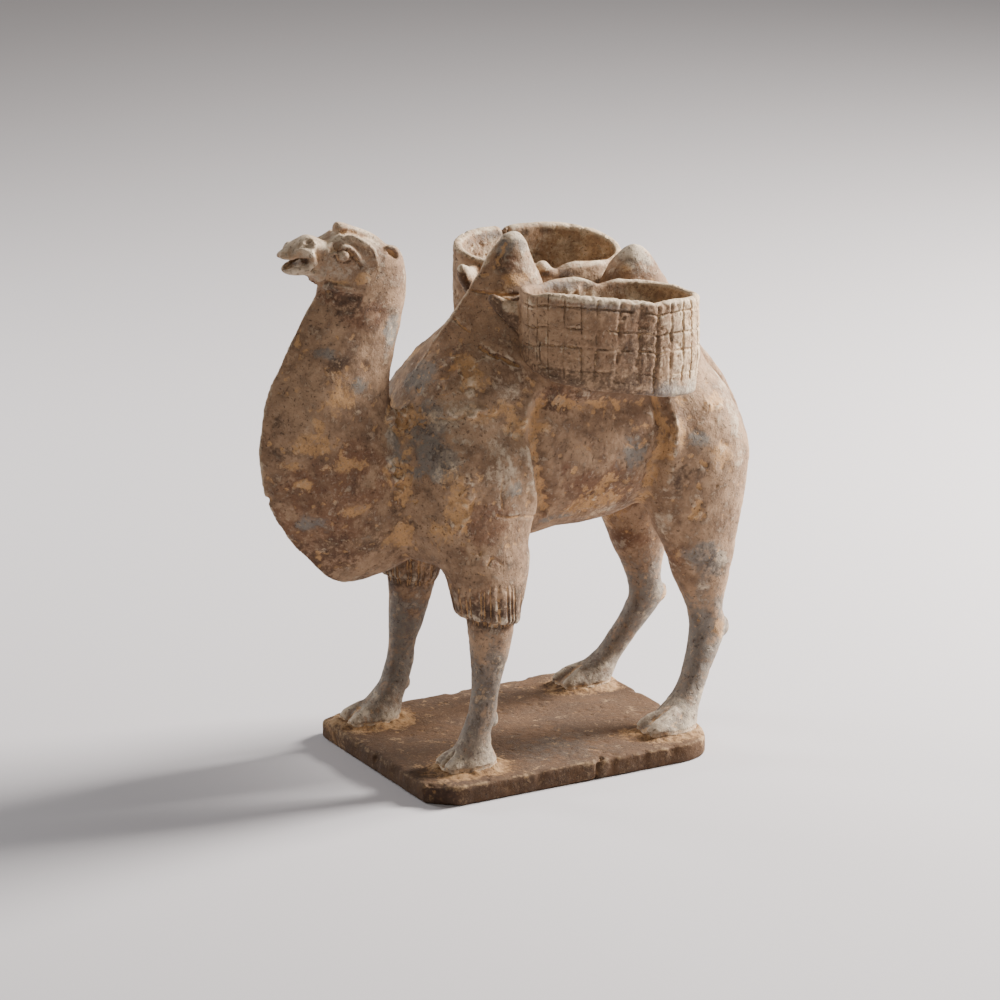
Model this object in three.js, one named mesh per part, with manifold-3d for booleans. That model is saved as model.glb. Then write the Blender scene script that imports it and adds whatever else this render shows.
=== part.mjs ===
// A pottery camel that stands on a clay slab, with an open basket-like pannier hung on each flank.
// Millimetres, +Z up. The camel faces -Y and its left side is +X.
// The origin lies in the slab's underside, on the camel's median plane, halfway along the slab.
import * as THREE from "three";
import { mergeVertices } from "three/addons/utils/BufferGeometryUtils.js";
import Module from "manifold-3d";

// Driving dimensions of the slab.
const SLAB_LENGTH = 150;
const SLAB_WIDTH = 117;
const SLAB_THICK = 9;
const SLAB_OFF = 0.8; // the slab's middle lies this far to the camel's left
const SLAB_EDGE = 1.2; // worn edge round the top and the underside

// Driving dimensions of the animal.
const GAP = 0.3; // left between two pieces that touch
const SOLE = SLAB_THICK + GAP;
const BELLY = 102.8; // heights above the ground
const BACK = 189.5;
const CROWN = 251.5;
const BARREL_HALF = 34; // half widths
const SHOULDER_HALF = 37;
const HIP_HALF = 35;

// Driving dimensions of the panniers.
const PANNIER_OUT = 31.1; // middle of each pannier, from the median plane
const PANNIER_MIDDLE = 29.5; // and behind the slab's middle
const PANNIER_LONG = 43; // half sizes in plan
const PANNIER_WIDE = 22.2;
const PANNIER_DEEP = 44; // from rim to underside at the outer wall
const PANNIER_SHALLOW = 25; // and at the wall that leans on the back
const PANNIER_SAG = 0.06; // deepens towards the rear by this share of the way
const PANNIER_FULL = 2.3; // power of the plan's oval: 2 is an ellipse, more is squarer
const WALL = 4.6;
const FLOOR = 5;

const wasm = await Module();
wasm.setup();

const WELD = 1e-4; // corners nearer than this are one

function solid(geometry) {
  const bare = geometry.clone();
  bare.deleteAttribute("normal");
  bare.deleteAttribute("uv");
  const merged = mergeVertices(bare, WELD);
  return new wasm.Manifold(
    new wasm.Mesh({
      numProp: 3,
      vertProperties: merged.attributes.position.array,
      triVerts: new Uint32Array(merged.index.array),
    }),
  );
}

function joined(solids) {
  return solids.reduce((sum, next) => sum.add(next));
}

// The curve through the stations, each a row of numbers, as evenly spaced rows.
function smooth(stations, count) {
  const width = stations[0].length;
  const places = stations.map((row, i) => i);
  const curve = new THREE.CubicInterpolant(places, stations.flat(), width, new Float32Array(width));
  const step = (stations.length - 1) / (count - 1);
  return Array.from({ length: count }, (unused, i) => [...curve.evaluate(i * step)]);
}

// A closed skin over rings of points that all hold the same number of corners.
function skin(rings) {
  const sides = rings[0].length;
  const middle = (ring) =>
    ring.reduce((sum, p) => sum.add(p), new THREE.Vector3()).divideScalar(sides);
  const points = [...rings.flat(), middle(rings[0]), middle(rings.at(-1))];
  const start = rings.length * sides;
  const last = start - sides;
  const index = [];
  for (let k = 0; k < sides; k++) {
    const next = (k + 1) % sides;
    for (let low = 0; low < last; low += sides) {
      const high = low + sides;
      index.push(low + k, low + next, high + next, low + k, high + next, high + k);
    }
    index.push(start, next, k, start + 1, last + k, last + next);
  }
  const geometry = new THREE.BufferGeometry().setFromPoints(points);
  geometry.setIndex(index);
  const made = solid(geometry);
  if (made.volume() > 0) return made;
  geometry.setIndex(index.reverse());
  return solid(geometry);
}

// A station of a form: two opposite points of its outline seen from the side, [y, z, y, z], the half
// width between them, how far the form's own middle stands off the median plane, and how sharp each of
// the two outlines is, from 0, round, to 1, a keel.
// `lie` is +1 for a form on the left or in the middle and -1 on the right, and `full` is the power of
// the section's oval. `grow` makes the form that much thicker all round.
function form(stations, { rings, sides = 12, lie = 1, full = 2.2, grow = 0 }) {
  const rows = stations.map(([y1, z1, y2, z2, half, out = 0, keel1 = 0, keel2 = 0]) => [
    y1, z1, y2, z2, half, out, keel1, keel2,
  ]);
  return skin(
    smooth(rows, rings).map(([y1, z1, y2, z2, half, out, keel1, keel2]) =>
      Array.from({ length: sides }, (unused, k) => {
        const angle = (2 * Math.PI * k) / sides;
        const along = Math.cos(angle);
        const power = (1 + (along > 0 ? keel1 : keel2)) / 2;
        const rise = Math.pow(Math.max(0, 1 - Math.pow(Math.abs(along), full)), power);
        const across = k < sides / 2 ? rise : -rise;
        const stretch = along * (0.5 + grow / Math.hypot(y1 - y2, z1 - z2));
        return new THREE.Vector3(
          lie * (out + across * (half + grow)),
          (y1 + y2) / 2 + (y1 - y2) * stretch,
          (z1 + z2) / 2 + (z1 - z2) * stretch,
        );
      }),
    ),
  );
}

// Trunk: upright sections from the breast to the rump, top point first.
const trunk = [
  [-64, 150, -61, 103, 12],
  [-56, 166, -53, 98.5, 24],
  [-44, 177, -41, 96, 33],
  [-27, 184.5, -25, 96.5, SHOULDER_HALF],
  [-8, 188.5, -8, 100, 36],
  [13, BACK, 13, BELLY, BARREL_HALF],
  [40, BACK, 40, BELLY, BARREL_HALF],
  [62, 188.5, 62, 107.5, 34.5],
  [81, 183.5, 79, 110.5, HIP_HALF],
  [95, 173.5, 93, 114.5, 32],
  [105, 161.5, 104, 118.5, 25],
  [112, 149.5, 111.5, 124.5, 15],
  [114.5, 140.5, 114.5, 131.5, 4],
];

// Humps: level sections from the tip down into the back. The front one has a sharp crest in front.
const frontHump = [
  [-2, 239.1, 2, 238.7, 1.8],
  [-7.4, 237.1, 5.6, 233.8, 5.2, 0, 0.3],
  [-11.5, 232.7, 8, 228.3, 7.2, 0, 0.8],
  [-17, 226.3, 11, 221.3, 9.4, 0, 1],
  [-29.3, 209.3, 17, 208.3, 14.5, 0, 1],
  [-44.6, 191.8, 25, 193.3, 23, 0, 0.8],
  [-57, 177.8, 29, 176.3, 31, 0, 0.4],
  [-64, 160.3, 26, 157.3, 35],
];
const rearHump = [
  [60.2, 225.9, 64, 225.5, 1.8],
  [54.5, 223.3, 69.5, 220.8, 6],
  [49.4, 218.8, 74.5, 214.1, 9.2],
  [44, 208.3, 80.5, 204.3, 14],
  [38, 195.3, 88, 189.3, 22],
  [34, 178.3, 94, 172.3, 29],
];

// Neck: a broad plate with a sharp front seam, carried down to a keel under the breast.
const neck = [
  [-96, 239.3, -63, 241.3, 10],
  [-98, 231.8, -60, 233.3, 13.3, 0, 0.2],
  [-100.6, 224.3, -59.4, 221.3, 13.6, 0, 0.6],
  [-109.2, 211.6, -61.4, 207.3, 13.4, 0, 1],
  [-117.7, 194.8, -64, 193.9, 13.8, 0, 1],
  [-125.3, 177.9, -66.7, 180.3, 15, 0, 1],
  [-128.5, 162.6, -64, 165.3, 17, 0, 1],
  [-128.2, 149, -50, 152.3, 18.5, 0, 1],
  [-125, 132.6, -44, 136.3, 19, 0, 1],
  [-116, 115.8, -42, 121.3, 18, 0, 1],
  [-106, 103.8, -44, 109.3, 14.5, 0, 1],
  [-97, 94.8, -50, 100.8, 8.5, 0, 1],
  [-88.5, 90.2, -61, 94.8, 2.5, 0, 0.6, 0.6],
];

// Head: sections from the back of the skull to the lips, upper point first.
const skull = [
  [-61.5, 239.5, -61, 228, 6],
  [-66, 243.5, -65, 224, 11],
  [-74, 247.5, -73, 222.5, 13.8],
  [-84, CROWN, -83, 222, 14.2],
  [-92, 251, -92, 223.5, 13],
  [-98, 248.8, -101, 227.8, 10.8],
  [-103, 250.2, -106.5, 231, 8.6],
];
const upperLip = [
  [-98, 249, -100, 240.5, 8.8],
  [-103.5, 251.6, -105, 241.6, 8.4],
  [-108.5, 250.6, -110, 242.6, 7.2],
  [-113.5, 248.6, -114.5, 243, 5.2],
  [-117, 247, -117.5, 243.6, 3.2],
  [-118.6, 245.8, -118.6, 244.6, 1.4],
];
const lowerLip = [
  [-96, 238.5, -98, 226, 9],
  [-102.5, 238.4, -104, 229.6, 7.6],
  [-108.5, 237.6, -109.5, 231.8, 6],
  [-113.5, 237, -114.2, 233.2, 4],
  [-116, 236.4, -116.2, 234.6, 1.8],
];
const forelock = [
  [-91.6, 253.8, -90, 248.3, 3.2],
  [-90.2, 255.7, -88, 248.3, 4.6],
  [-84, 254.2, -82.5, 247.3, 5.4],
  [-76, 250, -75, 244.3, 5.6],
  [-67.5, 244.2, -68.5, 239.3, 4.4],
  [-65, 241.2, -67, 237.8, 2],
];
const ear = [
  [-73, 244.8, -71.4, 241.4, 1.4, 9],
  [-70.8, 244, -68.6, 239, 2.6, 10],
  [-68.4, 241.4, -66.6, 236.6, 2.6, 10.4],
  [-67.2, 238, -66.4, 235.6, 1.2, 10],
];
const EYE = { out: 12.2, ahead: -92.4, high: 242.7, radius: 2.6 };

// Tail: a thin strip of clay laid down the rump, outer point first.
const tail = [
  [91, 180.8, 87, 174.3, 1.8],
  [95, 177.3, 90, 171.3, 3.2],
  [102.3, 168.3, 96, 163.3, 3.6],
  [109, 158.9, 102, 154.8, 3.6],
  [114.5, 149.7, 107.5, 147.3, 3.6],
  [117.8, 140.9, 110, 140.3, 3.2],
  [118.2, 134.9, 111, 135.1, 1.8],
];

// Legs: level sections from the body down to the fetlock, each [height, middle, half depth, half width,
// distance from the median plane].
const foreleg = [
  [171, -29, 12, 11, 14.5],
  [162, -30.5, 20, 15, 19.5],
  [150, -32, 26, 17, 23.5],
  [132, -34, 28, 17, 25.5],
  [114, -35.5, 25, 15.5, 28.5],
  [103, -35.5, 21, 14, 31],
  [92, -35, 15.5, 12, 33.5],
  [80, -34, 11.5, 9.5, 35],
  [70, -34.6, 8.8, 8, 36],
  [58, -36, 7.6, 7, 37],
  [44, -38, 6.1, 6, 37.8],
  [35, -39.4, 6.7, 6.3, 38],
  [26, -42.5, 6.8, 6.6, 38],
];
const hindLeg = [
  [171, 74, 14, 10, 13.5],
  [161, 74.5, 21.5, 15, 18.5],
  [149, 77, 25.5, 18, 21.5],
  [132, 78.5, 27.5, 18.5, 22.5],
  [114, 78.5, 25.5, 17, 24],
  [104, 79, 23.5, 15.5, 25],
  [95, 80, 20, 13.5, 26],
  [86, 81.3, 17, 12, 26.6],
  [76, 81.7, 13.6, 10.4, 26.6],
  [67, 83, 10.2, 8.8, 26.3],
  [59, 84, 8.2, 7.4, 26],
  [51, 85.4, 8.8, 7, 26.3],
  [42, 82, 7.8, 6.8, 28.6],
  [33, 76.6, 6.8, 6.4, 31.5],
  [25, 71.6, 6.8, 6.4, 33.8],
];

// Feet: each stands at its own place on the slab, and flares from the fetlock to a broad pad. A row is
// [height, share of the way from the fetlock to the pad's middle, half depth, half width].
const FEET = {
  foreLeft: { out: 36.4, middle: -46.3 },
  foreRight: { out: 40, middle: -53.5 },
  hindLeft: { out: 39.7, middle: 56 },
  hindRight: { out: 36.4, middle: 57 },
};
const flare = [
  [19, 0.4, 8.4, 7.6],
  [14.6, 0.7, 11, 9],
  [11.4, 0.95, 13.6, 10.2],
  [SOLE, 1, 14.3, 10.6],
];
const SLIT = { wide: 1.1, long: 12, deep: 4.5, tilt: 0.9 }; // between the two toes

function leg(rows, lie, foot) {
  const [, ankle, , , ankleOut] = rows.at(-1);
  const pad = flare.map(([high, share, deep, half]) => [
    high,
    THREE.MathUtils.lerp(ankle, foot.middle, share),
    deep,
    half,
    THREE.MathUtils.lerp(ankleOut, foot.out, share),
  ]);
  const stations = [...rows, ...pad].map(([high, middle, deep, half, out]) => [
    middle - deep, high, middle + deep, high, half, out,
  ]);
  const limb = form(stations, { rings: rows.length * 2, sides: 12, lie });
  const slit = new THREE.BoxGeometry(SLIT.wide, SLIT.deep, SLIT.long);
  slit.rotateX(-SLIT.tilt);
  slit.translate(lie * foot.out, foot.middle - flare.at(-1)[2], SOLE + SLIT.deep / 2);
  return limb.subtract(solid(slit));
}

// Cuff: the tuft of hair that hangs over the outer side of each foreleg, cut off along a slanted hem.
const tuft = [
  [-57, 116, -16, 114, 11.5, 31],
  [-56, 105, -13.6, 102, 14, 33.6],
  [-53.4, 93.3, -17, 89.8, 13.8, 35.6],
  [-51.6, 84.3, -20.4, 78.8, 13.2, 36.6],
  [-50.6, 80.7, -21.8, 74.3, 12.8, 37],
];
const CUFF_FROM = 33; // the cuff covers only what lies outside this

function cuff(lie) {
  const width = SLAB_WIDTH;
  const outside = new THREE.BoxGeometry(width, 2 * SLAB_LENGTH, 2 * CROWN);
  outside.translate(lie * (CUFF_FROM + width / 2), 0, 0);
  return form(tuft, { rings: 6, sides: 16, lie }).intersect(solid(outside));
}

function eye(lie) {
  const ball = new THREE.SphereGeometry(EYE.radius, 10, 7);
  return solid(ball.translate(lie * EYE.out, EYE.ahead, EYE.high));
}

// The bulk that the panniers lean on. Grown by the gap, it also cuts their seats.
function bulk(grow = 0) {
  return [
    form(trunk, { rings: 22, sides: 20, full: 2.4, grow }),
    form(frontHump, { rings: 14, sides: 16, grow }),
    form(rearHump, { rings: 10, sides: 14, grow }),
  ];
}

function camelSolid() {
  const pieces = [
    ...bulk(),
    form(neck, { rings: 22, sides: 16 }),
    form(skull, { rings: 11, sides: 14 }),
    form(upperLip, { rings: 7, sides: 10 }),
    form(lowerLip, { rings: 6, sides: 10 }),
    form(forelock, { rings: 8, sides: 8 }),
    form(tail, { rings: 9, sides: 8 }),
    leg(foreleg, 1, FEET.foreLeft),
    leg(foreleg, -1, FEET.foreRight),
    leg(hindLeg, 1, FEET.hindLeft),
    leg(hindLeg, -1, FEET.hindRight),
  ];
  for (const lie of [1, -1]) {
    pieces.push(form(ear, { rings: 5, sides: 8, lie }), eye(lie), cuff(lie));
  }
  return joined(pieces);
}

// Panniers: oval baskets with upright walls and a slanting rim and floor. `lean` lifts the outer rim
// and `pitch` the front one, in degrees, and each has its own.
const PANNIERS = {
  pannier_left: { lie: 1, rim: 216.1, lean: -2.8, pitch: 7.8 },
  pannier_right: { lie: -1, rim: 223.5, lean: 14, pitch: 3.8 },
};
const RING_SIDES = 28;

// Horn: a curved peg that leaves the pannier's front wall and turns forward and up.
const horn = [
  [3, 199.5, 4, 213, 3.6, 21],
  [-7, 200, -5, 212, 4, 19],
  [-14, 204.4, -10.6, 213.2, 3.6, 17],
  [-18.8, 209.6, -15.6, 215.2, 2.8, 15],
  [-21.4, 214.6, -19.6, 217.6, 1.6, 13.6],
];
const HORN_RIM = 216.1; // the rim height that the horn's stations are given for

function pannierSolid({ lie, rim, lean, pitch }) {
  const outward = Math.tan(THREE.MathUtils.degToRad(lean));
  const forward = Math.tan(THREE.MathUtils.degToRad(pitch));
  // One ring of the basket, `inset` inside the outer wall. `drop` gives its depth under the rim from
  // the basket's own depth at that place.
  const ring = (inset, drop) =>
    Array.from({ length: RING_SIDES }, (unused, k) => {
      const angle = (2 * Math.PI * k) / RING_SIDES;
      const [x, y] = [Math.cos(angle), Math.sin(angle)].map(
        (side) => Math.sign(side) * Math.pow(Math.abs(side), 2 / PANNIER_FULL),
      );
      const across = x * (PANNIER_WIDE - inset);
      const along = y * (PANNIER_LONG - inset);
      const share = (across / PANNIER_WIDE + 1) / 2;
      const deep = THREE.MathUtils.lerp(PANNIER_SHALLOW, PANNIER_DEEP, share) + along * PANNIER_SAG;
      return new THREE.Vector3(
        lie * (PANNIER_OUT + across),
        PANNIER_MIDDLE + along,
        rim + across * outward - along * forward - drop(deep),
      );
    });
  const outer = skin([
    ring(4.5, (deep) => deep),
    ring(1.6, (deep) => deep - 1.1),
    ring(0.4, (deep) => deep - 3.6),
    ring(0, (deep) => deep / 2),
    ring(0.4, () => 1),
    ring(1.4, () => 0),
  ]);
  const inner = skin([
    ring(WALL + 4, (deep) => deep - FLOOR),
    ring(WALL + 1, (deep) => deep - FLOOR - 2.5),
    ring(WALL, (deep) => deep / 2),
    ring(WALL - 0.4, () => 1),
    ring(WALL - 1.6, () => -2),
  ]);
  const peg = form(
    horn.map(([y1, z1, y2, z2, ...rest]) => [
      y1, z1 + rim - HORN_RIM, y2, z2 + rim - HORN_RIM, ...rest,
    ]),
    { rings: 8, sides: 10, lie },
  );
  // The inside keeps a wall's thickness clear of the humps, and the outside a gap.
  const room = joined(bulk(GAP + WALL));
  const seat = joined(bulk(GAP));
  return joined([outer, peg]).subtract(inner.subtract(room)).subtract(seat);
}

// The slab is a flat plate with its four corners cut off, each to its own size.
function slabSolid() {
  const half = SLAB_LENGTH / 2;
  const left = SLAB_OFF + SLAB_WIDTH / 2;
  const right = SLAB_OFF - SLAB_WIDTH / 2;
  const outline = new THREE.Shape();
  outline.moveTo(right + 5, 3 - half);
  outline.lineTo(left - 12, -half);
  outline.lineTo(left - 1, 12 - half);
  outline.lineTo(left, half - 18);
  outline.quadraticCurveTo(left, half - 8, left - 16, half - 3);
  outline.lineTo(right + 22, half);
  outline.quadraticCurveTo(right + 6, half, right, half - 24);
  outline.lineTo(right, 14 - half);
  outline.closePath();
  const slab = new THREE.ExtrudeGeometry(outline, {
    depth: SLAB_THICK - 2 * SLAB_EDGE,
    bevelThickness: SLAB_EDGE,
    bevelSize: SLAB_EDGE,
    bevelOffset: -SLAB_EDGE,
    bevelSegments: 1,
    curveSegments: 4,
  });
  return solid(slab.translate(0, 0, SLAB_EDGE));
}

const CLAY = {
  base: { color: 0x8a765c, roughness: 0.95 },
  camel: { color: 0x8d7a62, roughness: 0.92 },
  pannier_left: { color: 0xa08a6c, roughness: 0.94 },
  pannier_right: { color: 0xa08a6c, roughness: 0.94 },
};

function mesh(name, made) {
  const { vertProperties, triVerts } = made.getMesh();
  const geometry = new THREE.BufferGeometry();
  geometry.setAttribute("position", new THREE.BufferAttribute(vertProperties, 3));
  geometry.setIndex(new THREE.BufferAttribute(triVerts, 1));
  geometry.computeVertexNormals();
  const material = new THREE.MeshStandardMaterial({ metalness: 0, ...CLAY[name] });
  const piece = new THREE.Mesh(geometry, material);
  piece.name = name;
  return piece;
}

const figure = new THREE.Group();
figure.add(mesh("base", slabSolid()));
figure.add(mesh("camel", camelSolid()));
for (const [name, place] of Object.entries(PANNIERS)) {
  figure.add(mesh(name, pannierSolid(place)));
}

export default figure;
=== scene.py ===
import bpy
import numpy as np
from mathutils import Matrix, Vector


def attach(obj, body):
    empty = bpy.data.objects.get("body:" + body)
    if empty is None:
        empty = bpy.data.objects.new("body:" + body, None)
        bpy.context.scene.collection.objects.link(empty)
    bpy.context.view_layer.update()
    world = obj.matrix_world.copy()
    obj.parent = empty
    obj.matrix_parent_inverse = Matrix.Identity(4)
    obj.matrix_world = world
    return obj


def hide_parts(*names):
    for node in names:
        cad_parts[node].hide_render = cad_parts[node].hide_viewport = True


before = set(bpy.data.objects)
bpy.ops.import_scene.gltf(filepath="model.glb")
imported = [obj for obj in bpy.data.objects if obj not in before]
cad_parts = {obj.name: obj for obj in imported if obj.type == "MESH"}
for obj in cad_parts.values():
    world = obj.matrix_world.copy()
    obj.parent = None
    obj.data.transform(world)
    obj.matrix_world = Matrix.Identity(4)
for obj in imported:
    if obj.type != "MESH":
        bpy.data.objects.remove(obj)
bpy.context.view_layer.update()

# The camel: one body of grey earthenware, pressed and modelled by hand, with a keel down its throat,
# two humps, tufts of hair over the forelegs and four slim legs on cleft feet. Its masses are run
# together and rubbed as wet clay is, and then its face, hair, tail and toes are laid on.
MM = 0.001  # every size up to the studio's is in millimetres
TRUNK = [  # top y, z, bottom y, z, half width
    (-64, 150, -61, 103, 12), (-56, 166, -53, 98.5, 24), (-44, 177, -41, 96, 33),
    (-27, 184.5, -25, 96.5, 36.5), (-8, 188.5, -8, 100, 35.5), (13, 189.5, 13, 102.8, 35),
    (40, 189.5, 40, 102.8, 34.6), (60, 188.5, 60, 107.5, 33), (79, 183.5, 78, 110.5, 33.6),
    (91.5, 173.5, 92, 114.5, 31, 0, 0, -0.2), (101, 161.5, 103, 118.5, 24.5),
    (108, 149.5, 110.5, 124.5, 15.5), (111.5, 140.5, 112.5, 131.5, 4),
]
FRONT_HUMP = [
    (-2, 239.8, 1.6, 239.4, 1.8), (-7.6, 237.6, 4.8, 234.6, 5.4, 0, 0.3),
    (-11.7, 233, 6.8, 228.6, 7.4, 0, 0.8), (-17.2, 226.6, 9.6, 221.6, 9.5, 0, 1),
    (-29.5, 209.5, 15.4, 208.5, 14.5, 0, 1), (-44.8, 192, 24, 193.3, 23, 0, 0.8),
    (-57, 177.8, 29, 176.3, 31, 0, 0.4), (-64, 160.3, 26, 157.3, 34.5),
]
REAR_HUMP = [
    (60.2, 226.4, 64, 226, 1.8), (54.3, 223.6, 68.8, 221, 6.2), (49.2, 218.8, 73.4, 214.1, 9.4),
    (44, 208.3, 79, 204.3, 14), (38, 195.3, 87, 189.3, 22), (34, 178.3, 94, 172.3, 29),
]
SHOULDERS = [  # the front quarter: one broad plate on each side, with a crisp rear edge
    (-38, 198, 4, 198, 17, 0, 0.6), (-50, 186, -3, 186, 26, 0, 0.5, -0.1),
    (-59, 173, -10, 173, 33, 0, 0.5, -0.3), (-65, 159, -16.5, 159, 38, 0, 0.5, -0.5),
    (-69, 146, -17, 146, 40.5, 0, 0.5, -0.55), (-71, 133, -14.5, 133, 41.6, 0, 0.5, -0.55),
    (-71, 121, -9.6, 121, 42, 0, 0.6, -0.5), (-69, 111, -8.6, 111, 41.4, 0, 0.7, -0.4),
    (-64, 101, -13, 101, 37, 0, 0.8),
]
NECK = [  # front y, z, rear y, z, half width, offset, how sharp the front and the rear are
    (-96, 239.3, -61, 241.3, 10), (-98, 231.8, -58, 233.3, 13.3, 0, 0.2),
    (-100.6, 224.3, -57.4, 221.3, 13.6, 0, 0.6), (-109.2, 211.6, -59.8, 207.3, 13.4, 0, 1),
    (-118, 194.8, -63, 193.9, 13.8, 0, 1), (-125.6, 177.9, -66, 180.3, 15, 0, 1),
    (-128.9, 162.6, -64, 165.3, 17, 0, 1), (-128.6, 149, -50, 152.3, 18.5, 0, 1),
    (-125, 132.6, -44, 136.3, 19, 0, 1), (-116, 115.8, -42, 121.3, 18, 0, 1),
    (-106, 103.8, -44, 109.3, 14.5, 0, 1), (-97, 94.8, -50, 100.8, 8.5, 0, 1),
    (-88.5, 90.2, -61, 94.8, 2.5, 0, 0.6, 0.6),
]
FORELEG = [  # height, middle y, half depth, half width, distance from the median plane
    (171, -29, 12, 11, 14.5), (162, -30.5, 20, 15, 19.5), (150, -32, 26, 17, 23.5),
    (132, -34, 28, 17, 25.5), (114, -35.5, 25, 15.5, 28.5), (103, -35.5, 21, 14, 31),
    (92, -35, 15.5, 12, 33.5), (80, -34, 11.8, 10, 35), (70, -34.4, 10.2, 9.2, 36),
    (58, -35.8, 8.4, 7.6, 37), (44, -38, 6.2, 6.1, 37.8), (35, -39.4, 6.8, 6.4, 38),
    (26, -42.5, 6.9, 6.7, 38),
]
HINDLEG = [
    (171, 74, 14, 10, 13.5), (161, 74.5, 21.5, 15, 18.5, -0.2), (149, 77, 25.5, 18, 21.5, -0.35),
    (132, 78.5, 27.5, 18.5, 22.5, -0.35), (114, 78.5, 25.5, 17, 24, -0.2), (104, 79, 23.5, 15.5, 25),
    (95, 80, 20, 13.5, 26), (86, 81.3, 17, 12, 26.6), (76, 81.7, 13.6, 10.4, 26.6),
    (67, 83, 10.2, 8.8, 26.3), (59, 84, 8.2, 7.4, 26), (51, 85.4, 8.8, 7, 26.3),
    (42, 82, 7.8, 6.8, 28.6), (33, 76.6, 6.8, 6.4, 31.5), (25, 71.6, 6.9, 6.5, 33.8),
]
FEET = {  # side, leg, distance out and place of each foot's middle
    "fore_left": (1, FORELEG, 36.4, -46.3), "fore_right": (-1, FORELEG, 40, -53.5),
    "hind_left": (1, HINDLEG, 39.7, 56), "hind_right": (-1, HINDLEG, 36.4, 57),
}
FOOT_FLARE = [  # height, share of the way to the foot's middle, half depth, half width
    (19, 0.4, 8.6, 7.8), (15, 0.68, 11.2, 9.2), (12, 0.92, 13.4, 10.3), (10, 1, 14.2, 10.8),
    (9, 1, 13.9, 10.5),
]


def along(stations, count):
    """Rows evenly spaced on the smooth curve through the stations: a cubic between each two, whose
    slope at a station is half the step from the station before to the one after."""
    rows = np.array(stations, float)
    slope = np.gradient(rows, axis=0)
    place = np.linspace(0, len(rows) - 1, count)
    low = np.minimum(place.astype(int), len(rows) - 2)
    t = (place - low)[:, None]
    return (
        (2 * t**3 - 3 * t**2 + 1) * rows[low] + (t**3 - 2 * t**2 + t) * slope[low]
        + (3 * t**2 - 2 * t**3) * rows[low + 1] + (t**3 - t**2) * slope[low + 1]
    )


def skin(rings):
    """Closed skin over a grid of points, rings by sides, with a point in the middle of each end."""
    count, sides = rings.shape[:2]
    ends = rings[[0, -1]].mean(axis=1)
    points = np.concatenate([rings.reshape(-1, 3), ends])
    low = np.arange(count - 1)[:, None] * sides
    k = np.arange(sides)[None, :]
    n = (k + 1) % sides
    quads = np.stack([low + k, low + n, low + sides + n, low + sides + k], -1).reshape(-1, 4)
    k, n = k[0], n[0]
    last = (count - 1) * sides
    first_cap = np.stack([n, k, np.full(sides, len(points) - 2)], 1)
    last_cap = np.stack([last + k, last + n, np.full(sides, len(points) - 1)], 1)
    return points, quads.tolist() + first_cap.tolist() + last_cap.tolist()


def form(stations, rings=90, sides=64, lie=1, full=2.2):
    """A form with sections between two opposite outline points, each (y, z, y, z, half width,
    offset, sharpness of the first and of the second outline). Round the section by the angle a the
    point lies cos(a) of the way from the middle to an outline, and
    (1 - |cos a| ^ full) ^ ((1 + sharpness) / 2) of the half width to the side."""
    table = [tuple(row) + (0,) * (8 - len(row)) for row in stations]
    y1, z1, y2, z2, half, out, keel1, keel2 = along(table, rings).T[:, :, None]
    angle = np.linspace(0, 2 * np.pi, sides, endpoint=False)[None, :]
    stretch = np.cos(angle)
    power = (1 + np.where(stretch > 0, keel1, keel2)) / 2
    bulge = np.clip(1 - np.abs(stretch) ** full, 0, 1) ** power * np.sign(np.sin(angle))

    def between(first, second):
        return (first + second) / 2 + (first - second) / 2 * stretch

    grid = np.stack([lie * (out + bulge * half), between(y1, y2), between(z1, z2)], -1)
    return skin(grid)


NO_ROLL_RUNS = (0.31, 0.17, 0.93)  # a direction that no roll of clay follows


def coil(path, count=40, sides=14):
    """A round roll of clay: circles of the fourth number's radius along the smooth path through
    (x, y, z, radius), each square to the path."""
    rows = along(path, count)
    ahead = np.gradient(rows[:, :3], axis=0)
    ahead /= np.linalg.norm(ahead, axis=1)[:, None]
    side = np.cross(ahead, NO_ROLL_RUNS)
    side /= np.linalg.norm(side, axis=1)[:, None]
    over = np.cross(ahead, side)
    angle = np.linspace(0, 2 * np.pi, sides, endpoint=False)[None, :, None]
    ring = np.cos(angle) * side[:, None] + np.sin(angle) * over[:, None]
    return skin(rows[:, None, :3] + ring * rows[:, None, 3:])


def mirrored(made):
    """The same skin on the other side of the median plane."""
    points, faces = made
    return points * [-1, 1, 1], faces


def both(made):
    """The skin and its like on the other side."""
    return [made, mirrored(made)]


def mesh_of(name, parts):
    """One mesh object, in millimetres, of several skins laid into each other."""
    points, faces, start = [], [], 0
    for part_points, part_faces in parts:
        points.append(part_points)
        faces += [[start + i for i in face] for face in part_faces]
        start += len(part_points)
    mesh = bpy.data.meshes.new(name)
    mesh.from_pydata(np.concatenate(points).tolist(), [], faces)
    piece = bpy.data.objects.new(name, mesh)
    bpy.context.scene.collection.objects.link(piece)
    return piece


def apply_modifiers(piece):
    """Puts what the modifiers make of the mesh in the mesh's place."""
    made = bpy.data.meshes.new_from_object(
        piece.evaluated_get(bpy.context.evaluated_depsgraph_get())
    )
    piece.modifiers.clear()
    old, piece.data = piece.data, made
    bpy.data.meshes.remove(old)


def run_together(piece, voxel):
    """The outer skin of all the piece's forms as one even mesh, with that spacing in millimetres."""
    remesh = piece.modifiers.new("one_skin", "REMESH")
    remesh.mode = "VOXEL"
    remesh.voxel_size = voxel
    remesh.use_smooth_shade = True
    apply_modifiers(piece)


def read_out(items, field, width, kind=np.float32):
    """One field of all of a mesh's points, edges or corners, as rows of that width."""
    flat = np.empty(len(items) * width, kind)
    items.foreach_get(field, flat)
    return flat.reshape(-1, width)


def points_of(mesh):
    """The places of all points, as rows of x, y, z."""
    return read_out(mesh.vertices, "co", 3).astype(float)


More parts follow.
